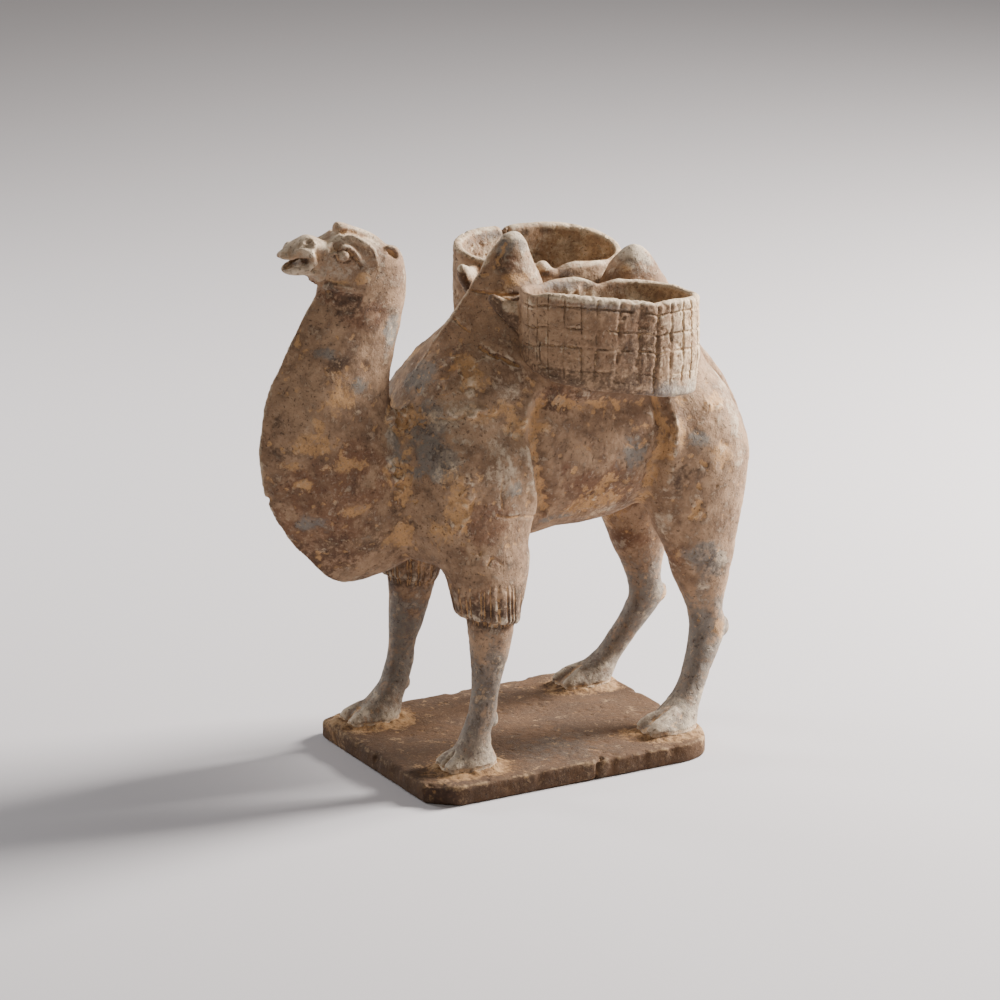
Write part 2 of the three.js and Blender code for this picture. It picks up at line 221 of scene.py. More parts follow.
def normals_of(mesh):
    """The outward directions at all points."""
    return read_out(mesh.vertex_normals, "vector", 3).astype(float)


def edges_of(mesh):
    """The two point numbers of each edge."""
    return read_out(mesh.edges, "vertices", 2, np.int32)


def set_points(mesh, points):
    """Moves all of the mesh's points to the given places."""
    mesh.vertices.foreach_set("co", np.ascontiguousarray(points, np.float32).ravel())
    mesh.update()


def rubbed(points, edges, times, share):
    """Points moved, so many times, that share of the way to the mean of their neighbours."""
    a, b = edges.T
    count = len(points)
    links = np.bincount(a, minlength=count) + np.bincount(b, minlength=count)
    for _ in range(times):
        mean = np.stack([
            np.bincount(a, axis[b], count) + np.bincount(b, axis[a], count) for axis in points.T
        ], 1) / links[:, None]
        points = points + (mean - points) * share
    return points


def step(low, high, value):
    """0 below low, 1 above high, and a smooth rise between them."""
    t = np.clip((value - low) / (high - low), 0, 1)
    return t * t * (3 - 2 * t)


def fall(low, high, value):
    """1 below low, 0 above high, and a smooth fall between them."""
    return 1 - step(low, high, value)


def bell(*spreads, power=2):
    """exp of minus the sum of (value / width) ^ power: 1 where every value is 0, and 0 far off."""
    return np.exp(-sum((value / width) ** power for value, width in spreads))


CELLS = 32
LATTICE = np.random.default_rng(7).random((CELLS, CELLS, CELLS))
ASKEW = np.linalg.qr(np.random.default_rng(8).normal(size=(3, 3)))[0]
SEED_SHIFT, LAYER_SHIFT, LAYER_FADE = 7.31, 3.7, 0.55


def cloud(points, size, seed=0, layers=3):
    """Soft noise about 0 to 1: random values on a turned lattice of that spacing, blended between its
    corners, and summed over finer and weaker layers."""
    total, weight, sum_weight = 0, 1, 0
    for layer in range(layers):
        place = points @ ASKEW / size * 2**layer + seed * SEED_SHIFT + layer * LAYER_SHIFT
        cell = np.floor(place).astype(int)
        f = place - cell
        f = f * f * (3 - 2 * f)
        value = 0
        for i, j, k in np.ndindex(2, 2, 2):
            corner = (cell + [i, j, k]) % CELLS
            part = LATTICE[corner[:, 0], corner[:, 1], corner[:, 2]]
            share = np.abs(1 - i - f[:, 0]) * np.abs(1 - j - f[:, 1]) * np.abs(1 - k - f[:, 2])
            value = value + part * share
        total = total + value * weight
        sum_weight += weight
        weight *= LAYER_FADE
    return total / sum_weight


def waver(points, size, high, seed, layers=2):
    """The same noise about 0, over a range of that height."""
    return (cloud(points, size, seed, layers) - 0.5) * high


def line_gap(points, line):
    """Distance of each point from a line through the given corners: the least of its distances from
    the nearest place on each straight stretch."""
    best = np.full(len(points), np.inf)
    for start, end in zip(line[:-1], line[1:]):
        way = end - start
        t = np.clip((points - start) @ way / (way @ way), 0, 1)
        best = np.minimum(best, np.linalg.norm(points - start - t[:, None] * way, axis=1))
    return best


def leg(lie, table, out, place):
    """A leg down to its own foot, with the flare of the pad."""
    _, ankle, _, _, ankle_out = table[-1]
    pad = [
        (high, ankle + (place - ankle) * share, deep, half, ankle_out + (out - ankle_out) * share)
        for high, share, deep, half in FOOT_FLARE
    ]
    rows = [(y - deep, z, y + deep, z, half, x, *keel) for z, y, deep, half, x, *keel in table + pad]
    return form(rows, rings=120, sides=48, lie=lie)


OUT, BEHIND = 31.1, 29.5  # the middle of each pannier, across and along
SEATS = {  # side: middle, half width, half thickness, height, slope outwards and drop rearwards
    1: (22, 14, 8, 181.6, -0.477, 0.137), -1: (21, 16, 11, 189, -0.18, 0.066),
}
SEAT_MIDDLE, SEAT_REACH, SEAT_GAP = 27.5, 31, 1  # along, and the gap left under the pannier
BLUNT_END = 0.003


def seat(lie, middle, half, thick, high, slope, pitch):
    """Luting clay in the wedge between the back and a pannier's underside: ovals along y, as wide and
    as thick as (1 - t^4) ^ 1/2 of the most, t from -1 to 1, sheared to the underside's slope."""
    t = np.linspace(-1, 1, 50)[:, None]
    turn = np.linspace(0, 2 * np.pi, 40, endpoint=False)[None, :]
    share = np.sqrt(np.clip(1 - t**4, BLUNT_END, 1))
    across = half * share * np.cos(turn)
    along = SEAT_MIDDLE + SEAT_REACH * t + 0 * turn
    top = high + slope * (middle + across - OUT) - pitch * (along - BEHIND) - thick - SEAT_GAP
    grid = np.stack([lie * (middle + across), along, top + thick * share * np.sin(turn)], -1)
    return skin(grid[:, ::lie])


# Regions of the body across from the median plane, along and up. Each has an edge where it begins and
# one where it ends, as the pair of places between which it fades, and None leaves that side open.
REGIONS = {
    "keel": ((None, (4, 12)), (None, (-100, -84)), ((85, 92), None)),
    "hump ridge": ((None, (2, 8)), ((-66, -60), (8, 20)), ((185, 200), None)),
    "neck root": ((None, None), ((-88, -80), (-52, -44)), ((100, 112), (180, 192))),
    "flank top": ((None, None), ((-60, -40), None), ((158, 172), (200, 215))),
    "above the legs": ((None, None), (None, None), ((60, 105), None)),
    "lower legs": ((None, None), (None, None), (None, (60, 90))),
    "shins": ((None, None), (None, None), (None, (52, 84))),
    "feet": ((None, None), (None, None), (None, (18, 32))),
    "soles": ((None, None), (None, None), (None, (10, 13))),
    "tuft top": (((24, 30), None), (None, (-14, -6)), ((90, 97), (112, 118))),
    "tuft hem": (((16, 20), None), (None, (-16, -8)), ((70, 76), (86, 100))),
    "head": ((None, None), (None, (-64, -58)), ((222, 228), None)),
    "face": ((None, None), (None, (-76, -70)), ((225, 232), None)),
    "mouth": ((None, None), ((-111.6, -109.4), (-101, -99)), ((236, 237), (240.6, 241.8))),
    "lip hollow": ((None, None), (None, None), ((235, 236), (238, 240))),
    "throat": ((None, None), (None, (-98, -92)), (None, (218, 224))),
    "front hump's foot": ((None, None), ((-62, -56), (-12, -4)), ((176, 184), None)),
}


def region(points, name):
    """About 1 inside a region and 0 outside it: the product of a smooth step at each of its edges."""
    inside = np.ones(len(points))
    for place, (begins, ends) in zip((np.abs(points[:, 0]), points[:, 1], points[:, 2]), REGIONS[name]):
        if begins:
            inside = inside * step(*begins, place)
        if ends:
            inside = inside * fall(*ends, place)
    return inside


# First the large masses, run together and rubbed until their joints are soft hollows. The keel and
# the ridge of the front hump keep their edges.
ROUGH_SPACING, FINE_SPACING = 1.3, 0.62
RUB_TRUNK, RUB_JOINTS, RUB_ALL, SPARE_RIDGE = 0.2, 0.3, 0.03, 0.7
masses = [form(TRUNK, full=2.4), form(FRONT_HUMP), form(REAR_HUMP), form(NECK), form(SHOULDERS, full=2.6)]
masses += [seat(lie, *sizes) for lie, sizes in SEATS.items()]
masses += [leg(*foot) for foot in FEET.values()]
camel = mesh_of("camel_clay", masses)
run_together(camel, ROUGH_SPACING)
points, edges = points_of(camel.data), edges_of(camel.data)
crisp = np.clip(region(points, "keel") + SPARE_RIDGE * region(points, "hump ridge"), 0, 1)
joints = np.maximum(region(points, "neck root"), region(points, "flank top"))
soft = (RUB_TRUNK * region(points, "above the legs") + RUB_JOINTS * joints) * (1 - crisp) + RUB_ALL
set_points(camel.data, rubbed(points, edges, times=30, share=soft[:, None]))

# Then the head, the hair and the tail are laid on, and all of it becomes one fine skin.
SKULL = [
    (-61.5, 238.5, -61, 228, 6), (-66, 242, -65, 224, 11), (-74, 246.2, -73, 222.3, 13, 0, -0.2),
    (-81, 248.6, -80, 222, 12.6, 0, -0.35), (-87, 249.8, -86, 222.5, 11.6, 0, -0.35),
    (-92, 249.4, -92, 224, 10.6, 0, -0.35), (-95.5, 247.8, -97, 226.5, 9.4, 0, -0.2),
    (-98.5, 246.8, -101, 229.5, 8.4, 0, -0.1), (-101.4, 246.4, -103.6, 233.5, 7.6),
    (-104.4, 246, -105.6, 236.6, 6.3),
]
NOSE = [
    (-96.5, 247.4, -97, 239, 7.2), (-100, 249, -101, 239.5, 7.2), (-103.5, 250.4, -105, 241.6, 7.1),
    (-106.5, 250, -108.5, 242.6, 6.5), (-109.5, 248.6, -111, 242.8, 5.5),
    (-113, 246.7, -114, 242.2, 4.4), (-115.8, 245.4, -116.3, 241.4, 3.5), (-118, 244.4, -118.2, 241.8, 2.6),
]
LOWER_LIP = [
    (-98, 236.5, -98.5, 228, 8), (-103.5, 236.8, -104.5, 232.6, 7.4), (-108, 236.6, -108.6, 233.7, 6.4),
    (-112, 236.4, -112.4, 233.9, 4.6), (-114.6, 236.1, -114.8, 234.5, 2.8), (-116, 235.8, -116, 235.2, 1),
]
TONGUE = [(-99, 240, -99, 235.6, 5.6), (-104, 240, -104, 235.8, 4.8), (-107, 239.6, -107.4, 235.8, 4.6),
          (-109.8, 238.6, -110, 236, 3.6), (-112, 237.6, -112.2, 236, 2.2), (-113, 236.8, -113, 236.2, 0.8)]
LIP_ROLL = [  # x, y, z, radius, from beside the nostril round the corner of the mouth to the lower tip
    (5, -113.2, 244.5, 0.8), (6.3, -110.9, 245.6, 1.2), (7, -108.7, 245.2, 1.5), (7.6, -106.9, 243.7, 1.7),
    (7.8, -106, 241.3, 1.8), (7.6, -106.4, 239, 1.7), (6.9, -107.8, 237.7, 1.4), (5.8, -110.2, 237.4, 1.2),
    (4.4, -112.8, 237.1, 1.1), (2.6, -115, 236.5, 0.9), (0.6, -116, 236, 0.8),
]
LIP_EDGE = [(0.8, -117.9, 242.9, 1.2), (2.4, -116.9, 242.7, 1.3), (3.8, -115.2, 242.6, 1.3),
            (5.1, -112.8, 243.1, 1.2), (6.2, -110.6, 243.5, 1.3), (7, -108.5, 243.1, 1.4)]
NOSE_WING = [(5.2, -106.4, 248.8, 0.5), (6.2, -104.9, 248.6, 0.9), (7, -104.6, 247.4, 1.1),
             (7, -105.9, 246.2, 1), (6.4, -108.2, 245.9, 0.6)]
MANE = [
    (-91.6, 252.6, -90.6, 248, 2.2), (-90.2, 254.5, -88, 248, 3.2), (-86.4, 253.7, -85, 248, 3.4),
    (-80.8, 251.2, -79.5, 246.6, 3.2), (-76, 249.2, -75, 245, 3.2), (-72.5, 247.3, -71.6, 243, 3.2),
    (-68.5, 244.2, -68.2, 240, 3), (-65.6, 241, -66, 238, 1.8),
]
EAR = [(9.4, -72, 241.8, 0.8), (9.6, -69.6, 242.5, 1.3), (9.6, -67, 241.2, 1.5), (9.6, -65.6, 238.8, 1.3),
       (10.6, -67.4, 236.8, 1)]
HAIR_EDGE = [
    (7.8, -98.9, 243.6, 0.5), (6.2, -97, 245.8, 0.9), (4.4, -93.9, 247.8, 1), (5, -90.4, 248.9, 1.2),
    (6.4, -87.4, 249.2, 1.3), (8.2, -85.1, 248.3, 1.3), (9.4, -83.2, 246.9, 1.3), (10.6, -80.7, 245.2, 1.3),
    (11.4, -78.6, 242.8, 1.2), (12, -77.8, 240.2, 1.1), (12.4, -77.4, 237.3, 1), (12.6, -75.4, 233.8, 0.5),
]
UPPER_LID = [
    (8.1, -98.4, 241.8, 0.4), (9, -96.2, 242.8, 0.9), (9.7, -94.5, 243.9, 1.1), (10, -93, 245, 1.2),
    (10.3, -91, 245.5, 1.2), (10.7, -89.2, 244.6, 1.15), (11.2, -87.5, 243, 1.05), (11.8, -86.2, 240.8, 0.9),
    (12.2, -84.6, 238.2, 0.45),
]
LOWER_LID = [(9.4, -96.2, 242.8, 0.4), (10, -94.8, 240.5, 0.75), (10.6, -92.4, 239.1, 0.8),
             (11, -89.8, 239, 0.7), (11.4, -88, 240.4, 0.4)]
EYEBALL = [(-95.3, 242.2, -95.3, 241.7, 0.3, 10), (-94.4, 243.5, -94.4, 240.4, 2.1, 10),
           (-92.6, 244.2, -92.6, 239.7, 2.9, 10.2), (-90.8, 243.5, -90.8, 240.4, 2.1, 10.5),
           (-89.9, 242.2, -89.9, 241.7, 0.3, 10.6)]
JAW = [(6.6, -100, 229.4, 0.8), (7.8, -97.2, 228.2, 1.6), (9.6, -93, 226.8, 2.2), (10.8, -88.2, 225.8, 2.2),
       (11.2, -84, 225.2, 1)]
TAIL = [
    (91, 180.8, 87, 174.3, 1.8), (95, 177.3, 90, 171.3, 3.2), (102.3, 168.3, 96, 163.3, 3.6),
    (109, 158.9, 102, 154.8, 3.6), (114.5, 149.7, 107.5, 147.3, 3.6), (117.8, 140.9, 110, 140.3, 3.2),
    (118.2, 134.9, 111, 135.1, 1.8),
]
TUFT = [
    (-55, 122, -16, 120, 8, 31), (-56.5, 112, -15, 110, 11.6, 32.6), (-56, 105, -13.8, 102, 13.2, 33.8),
    (-53.4, 93.3, -17, 89.8, 13.4, 35.4), (-51.8, 84.3, -20.4, 79.6, 13, 36.4),
    (-51.2, 81.4, -21.4, 75.6, 13, 36.8), (-50, 79.6, -22.6, 73.6, 11.6, 37),
]
HOCKS = [(1, 26.4, 91.4, 48.8), (-1, 26.4, 91.6, 50.8)]  # side, distance out, place, height
FETLOCKS = [(1, 36.6, -35.4, 29.4), (-1, 38.6, -38, 25.4), (1, 34.6, 73.4, 24.4), (-1, 33.8, 73.4, 24.8)]
HOCK_SIZE, FETLOCK_SIZE = 4.6, 4.2
KNOB = [(-1, -0.6, 0.5), (0, 0, 1), (0.5, 1, 0.45)]  # shares of a knob's size: place, height, radius
TOE = [  # how far apart from the foot's middle and how far behind it, height, radius
    (1.6, 4, 17, 3.2), (3.8, -4, 13.4, 4.2), (4.7, -9, 11, 4.2), (4.5, -12.2, 9.6, 3),
]
FAR_WING_DROP = 2.4  # the far nostril's wing sits lower


def knob(lie, out, place, high, size):
    """A small bump: a short roll, thick in its middle."""
    path = [(lie * out, place + size * a, high + size * b, size * c) for a, b, c in KNOB]
    return coil(path, count=16, sides=16)


far_wing = [(a, b, c - FAR_WING_DROP, radius) for a, b, c, radius in NOSE_WING]
laid_on = [form(SKULL), form(NOSE), form(LOWER_LIP)]
laid_on += [form(MANE, rings=60, sides=40), form(TONGUE, rings=40, sides=24), form(TAIL, rings=60, sides=32)]
laid_on += [coil(NOSE_WING, count=60, sides=16), mirrored(coil(far_wing, count=60, sides=16))]
for roll in (LIP_ROLL, LIP_EDGE, EAR, HAIR_EDGE, UPPER_LID, LOWER_LID, JAW):
    laid_on += both(coil(roll, count=60, sides=16))
for lie in (1, -1):
    laid_on += [form(EYEBALL, rings=24, sides=20, lie=lie), form(TUFT, rings=60, lie=lie)]
laid_on += [knob(*hock, HOCK_SIZE) for hock in HOCKS] + [knob(*heel, FETLOCK_SIZE) for heel in FETLOCKS]
for lie, _, out, place in FEET.values():
    for apart in (-1, 1):
        toe = [(lie * out + apart * a, place + b, high, radius) for a, b, high, radius in TOE]
        laid_on.append(coil(toe, count=24, sides=20))
quads = read_out(camel.data.loops, "vertex_index", 1, np.int32).reshape(-1, 4)
body = points_of(camel.data), quads.tolist()
bpy.data.objects.remove(camel)
camel = mesh_of("camel_clay", [body, *laid_on])
run_together(camel, FINE_SPACING)
points, edges = points_of(camel.data), edges_of(camel.data)
points = rubbed(points, edges, times=4, share=0.5)
points = rubbed(points, edges, times=30, share=0.6 * region(points, "tuft top")[:, None])
set_points(camel.data, points)

# The marks of making and of burial: dents and lumps of the hand, cracks, pits, strokes of the
# comb in the hair, slits between the toes, and crusts of earth.
CRACKS = [  # width, depth and line of each crack, slit and fold, and a depth below 0 is a ridge
    (0.5, 1.1, [(1, -23.6, 216), (5.4, -20.4, 215.5), (9.3, -16.1, 214.8), (11.9, -10.1, 214.5),
                (12.3, -1.9, 213.9)]),
    (0.5, 0.9, [(1.8, -32.5, 204.2), (5.3, -31.6, 202.4), (9.8, -29.9, 200.1)]),
    (0.8, 2.4, [(17.9, -28.4, 194.5), (20.9, -26.1, 192.3), (22.6, -23, 190.6)]),
    (0.8, 2.4, [(22.9, -22.6, 191.2), (24.7, -18.5, 188.3), (26.1, -14.7, 186.6)]),
    (0.55, 0.8, [(43, -34.7, 125.2), (42.8, -28.1, 123.2), (41.4, -21.7, 122.3), (35.1, -12, 119.5),
                 (27.8, -3.1, 115.9)]),
    (0.5, 0.5, [(41.7, -31.5, 141), (42.2, -32.4, 135), (42.6, -31.9, 128)]),
    (0.8, 0.6, [(24.4, -54.1, 167.3), (31, -48.4, 168), (33, -42.4, 170.1), (34.7, -31, 167.4)]),
    (3.0, -1.5, [(32, -13, 171), (33.4, -16.5, 163.5), (36, -18.5, 155.4), (37.6, -17.5, 145),
                 (37.4, -14.5, 131.6), (36.5, -11, 121)]),
    (3.4, 2.6, [(32, -6, 169), (33.2, -9.5, 162.6), (34, -11, 155), (34.4, -10, 145), (34.4, -7.6, 133),
                (33.5, -3.4, 121)]),
    (3.0, 2.6, [(35, 52.5, 165), (33.1, 54.4, 159), (32.6, 55.4, 151), (33.4, 54.4, 142), (32.4, 52, 132.9),
                (29.7, 51, 124.3)]),
    (2.8, -1.3, [(36, 60, 160), (36, 61.4, 151), (36.6, 60.6, 142), (36.6, 58.4, 132), (35.4, 57.6, 122)]),
    (1.2, -0.8, [(36, 60.6, 154), (36.4, 61, 147), (36.8, 60, 138)]),
    (0.8, 1.0, [(4, 90.5, 176), (4.2, 96, 167), (4.4, 103, 156), (4.4, 109.5, 146), (4, 112, 137)]),
    (1.0, 1.0, [(3.9, -89, 250.6), (4.4, -84, 249.6), (4.6, -79, 247.8), (4.6, -74, 245.2)]),
    (0.6, 1.6, [(11.4, -88.4, 243), (11.9, -87.6, 240.4), (12.5, -84.8, 236.6)]),
    (0.5, 1.6, [(9.6, -96, 242.2), (10, -95, 240), (10.5, -92.7, 238.7), (11, -90, 239.3)]),
    (0.5, 1.6, [(9.6, -95, 244), (10, -93, 245), (10.4, -90.7, 244.4), (10.9, -89.3, 242.6),
                (11.4, -88.4, 240.4)]),
    (1.8, 1.1, [(3.6, -7.7, 235.6), (4.2, -9, 233.1), (4.1, -10.9, 230.3), (4.3, -13, 227.3),
                (3, -18.1, 222.4)]),
    (0.8, 1.2, [(9.9, -70.4, 241.4), (10.2, -68.2, 240.4), (10.4, -67.2, 238.6)]),
    (0.6, 0.5, [(6.2, -109.6, 247), (6.4, -108, 247.3), (6.6, -106.2, 247.6)]),
    (0.6, 0.7, [(7.6, -99.8, 227), (9.4, -97, 225.6), (11.6, -92.6, 224.6), (13, -86, 223.4)]),
    (0.8, 3, [(36.4, -52.5, 17), (36.4, -57, 14.6), (36.2, -62.5, 9.6)]),
    (0.8, 3, [(39.7, 49.4, 17), (39.7, 45, 14.6), (39.7, 40, 10)]),
    (0.8, 3, [(-40, -60, 17), (-40, -64, 14.6), (-40, -69.8, 9.4)]),
    (0.8, 3, [(-36.4, 50, 17), (-36.4, 46, 14.6), (-36.4, 41, 10)]),
]
LUMPS = [  # x, y, z, reach along and up, height, size of the crumbs
    (10, -65, 165, 9, 6, 2.8, 4.5), (18, -71, 141, 4, 10, 1.8, 3), (36, -56, 118, 7, 6, 0.7, 3.2),
    (5, -101, 229, 5, 5, 1.5, 2.6), (34, -40, 169.5, 12, 3, 1.2, 3), (27.5, -2, 117, 2.4, 2, 1.6, 3),
    (34, -18, 160, 8, 5, 0.8, 3), (12.8, -84.8, 230.8, 3.4, 2.2, 0.5, 2.6),
    (5, -88.6, 249.8, 3, 2, 0.5, 1.8), (9, -97, 224, 5, 4, 1.1, 2.6), (3, -104, 239, 6, 3, 1.2, 2),
    (9.4, -71, 239.5, 3, 3, 0.8, 2.2),
    (35, 59, 145, 4, 14, 1.3, 3), (35, 83, 158, 7, 4, 0.9, 3), (30, 27, 124, 14, 9, 0.9, 3),
    (40, -50, 132, 7, 16, 0.8, 3.2), (24, -42, 182, 6, 12, 0.9, 4),
]
PITTED = [  # x, y, z, reach along and up
    (39, -52, 128, 6, 22), (24, -38, 184, 6, 14), (46, -40, 106, 9, 7), (30, 20, 118, 18, 9),
    (18, -68, 132, 5, 12), (38, 76, 120, 12, 16), (14, -60, 168, 8, 8),
]
FAR_SHARE, SEEN_ONLY = 0.7, 34  # marks are shallower on the far side, which lacks those farther out
DENTS = [(26, 2.0, 1), (10, 1.2, 2)]  # size and height of the hand's dents, and their place in the noise
SKIN_GRAIN, PIT_DEPTH, PITS_ELSEWHERE = 0.3, 0.8, 0.2
# Each tuft is combed downwards in strokes about 12 degrees apart round its middle.
TUFT_OUT, TUFT_BACK, TUFT_RADIUS, TUFT_REACH = 36.8, -36.5, 13.5, 24
HEM_HEIGHT, HEM_SLOPE, STROKES_FADE = 75, 0.13, (10, 22)
STROKE_DEPTH, STROKE_WIDTH = 0.85, 0.5
STROKES = np.radians(np.arange(-176, 180, 12) + 4 * np.sin(np.arange(30) * 2.4))
SOLE_EDGE, SOLE_GROOVE = 11.3, 0.5
NOSTRIL, NOSTRIL_REACH, NOSTRIL_DEPTH = (4.9, -106.5, 249.3), 1.3**0.5, 2.3
LIP_HOLLOW, LIP_HOLLOW_DEPTH = -111, 0.9
SEAM_HEIGHT, SEAM_WIDTH = 0.45, 0.8
KEEL_CHIP, KEEL_CHIP_DEPTH = (-125.6, 134.5), 1.6


def near(points, line, reach):
    """Numbers of the points that lie within reach of the box round a line."""
    corners = np.array(line, float)
    inside = (points > corners.min(0) - reach) & (points < corners.max(0) + reach)
    return np.nonzero(inside.all(axis=1))[0]


LEAST_REACH, OFF_LINE = 3, 0.4  # the second is the weight of a gap across the figure
SWAY_SPACING, SWAY_SHARE, MOST_SWAY = 3.5, 1.6, 1.5
FAINTEST, UNEVEN, UNEVEN_SPACING = 0.65, 0.7, 5


def scored(points, line, width, depth, seed=3):
    """Depth of a cut along a line: depth * exp(-(gap / width)^2), wandering and of uneven depth. The
    gap counts less across the figure, so that the cut also reaches a surface that lies off the line."""
    cut = np.zeros(len(points))
    some = near(points, line, max(LEAST_REACH, 4 * width))
    weight = (OFF_LINE if np.ptp([corner[0] for corner in line]) > 0.5 else 1, 1, 1)
    place = points[some]
    sway = np.stack([cloud(place, SWAY_SPACING, seed + i, 2) for i in range(3)], 1) - 0.5
    moved = place + sway * min(SWAY_SHARE * width, MOST_SWAY)
    gap = line_gap(moved * weight, np.array(line) * weight)
    cut[some] = depth * bell((gap, width)) * (FAINTEST + UNEVEN * cloud(place, UNEVEN_SPACING, seed + 4, 2))
    return cut


PATCH_CORE, PATCH_END, PATCH_ACROSS = 0.35, 1.3, 1.3  # shares of a patch's reach


def patch(points, rough, x, y, z, wide, high):
    """A patch about 0 to 1 of that reach along and up: a smooth fall with the distance from its middle,
    in shares of its reach, made ragged by the noise."""
    gap = (points - (x, y, z)) / (PATCH_ACROSS * max(wide, high), wide, high)
    return fall(PATCH_CORE, PATCH_END, np.linalg.norm(gap, axis=1) + (rough - 0.5) * 2)


normals = normals_of(camel.data)
x, y, z = points.T
head = region(points, "head")
calm = 1 - 0.75 * np.maximum(head, 0.6 * region(points, "lower legs"))
ragged = cloud(points, 7, 5)
height = sum(waver(points, *dent) for dent in DENTS) * calm
height += waver(points, 3.2, SKIN_GRAIN, 3) * (1 - 0.5 * head)
for count, (width, depth, line) in enumerate(CRACKS):
    height -= scored(points, line, width, depth, count)
    if abs(line[0][0]) < SEEN_ONLY:
        other = [(-a, b, c) for a, b, c in line]
        height -= scored(points, other, width, FAR_SHARE * depth, count + 40)
for count, (*place, wide, high, tall, grain) in enumerate(LUMPS):
    crumbs = step(0.42, 0.75, cloud(points, grain, count + 9, 2))
    for lie, share in ((1, 1), (-1, FAR_SHARE)):
        height += tall * share * patch(points, ragged, lie * place[0], *place[1:], wide, high) * crumbs
pocked = np.full(len(points), PITS_ELSEWHERE)
for out, *rest in PITTED:
    for lie in (1, -1):
        pocked = np.maximum(pocked, patch(points, ragged, lie * out, *rest))
height -= PIT_DEPTH * pocked * (1 - 0.8 * head) * step(0.6, 0.8, cloud(points, 2.8, 8, 1))
hem = HEM_HEIGHT + HEM_SLOPE * (TUFT_BACK - y)
for lie in (1, -1):  # comb strokes round each tuft, and the creases that they leave in its hem
    swing = np.arctan2(y - TUFT_BACK, lie * x - TUFT_OUT) + waver(points, 12, 0.16, 11)
    in_tuft = (np.hypot(y - TUFT_BACK, lie * x - TUFT_OUT) < TUFT_REACH) * (lie * x > 14)
    in_tuft = in_tuft * step(hem - 1.5, hem, z)
    long_ones = fall(hem + STROKES_FADE[0], hem + STROKES_FADE[1], z + waver(points, 6, 8, 12))
    for stroke in STROKES:
        gap = TUFT_RADIUS * np.abs(np.sin((swing - stroke) / 2)) * 2
        height -= STROKE_DEPTH * in_tuft * long_ones * bell((gap, STROKE_WIDTH))
height -= SOLE_GROOVE * bell((z - SOLE_EDGE, 0.6)) * (0.4 + cloud(points, 5, 13, 2))
nostril = [(np.abs(x) - NOSTRIL[0], NOSTRIL_REACH), (y - NOSTRIL[1], 1.3 * NOSTRIL_REACH),
           (z - NOSTRIL[2], NOSTRIL_REACH)]
height -= NOSTRIL_DEPTH * bell(*nostril)
height -= LIP_HOLLOW_DEPTH * bell((x, 2.4), (y - LIP_HOLLOW, 3.4), power=4) * region(points, "lip hollow")
seam = bell((x, SEAM_WIDTH)) * np.maximum(region(points, "throat"), region(points, "front hump's foot"))
height += SEAM_HEIGHT * seam
height -= KEEL_CHIP_DEPTH * bell((y - KEEL_CHIP[0], 2), (z - KEEL_CHIP[1], 2)) * (np.abs(x) < 6)
set_points(camel.data, points + normals * height[:, None])
MOST_TRIANGLES = 194000


def thin_out(piece):
    """Leaves at most that many triangles. A closed skin of n points has about 2 n of them."""
    share = MOST_TRIANGLES / (2 * len(piece.data.vertices))
    if share < 1:
        piece.modifiers.new("thin_out", "DECIMATE").ratio = share
        apply_modifiers(piece)


thin_out(camel)

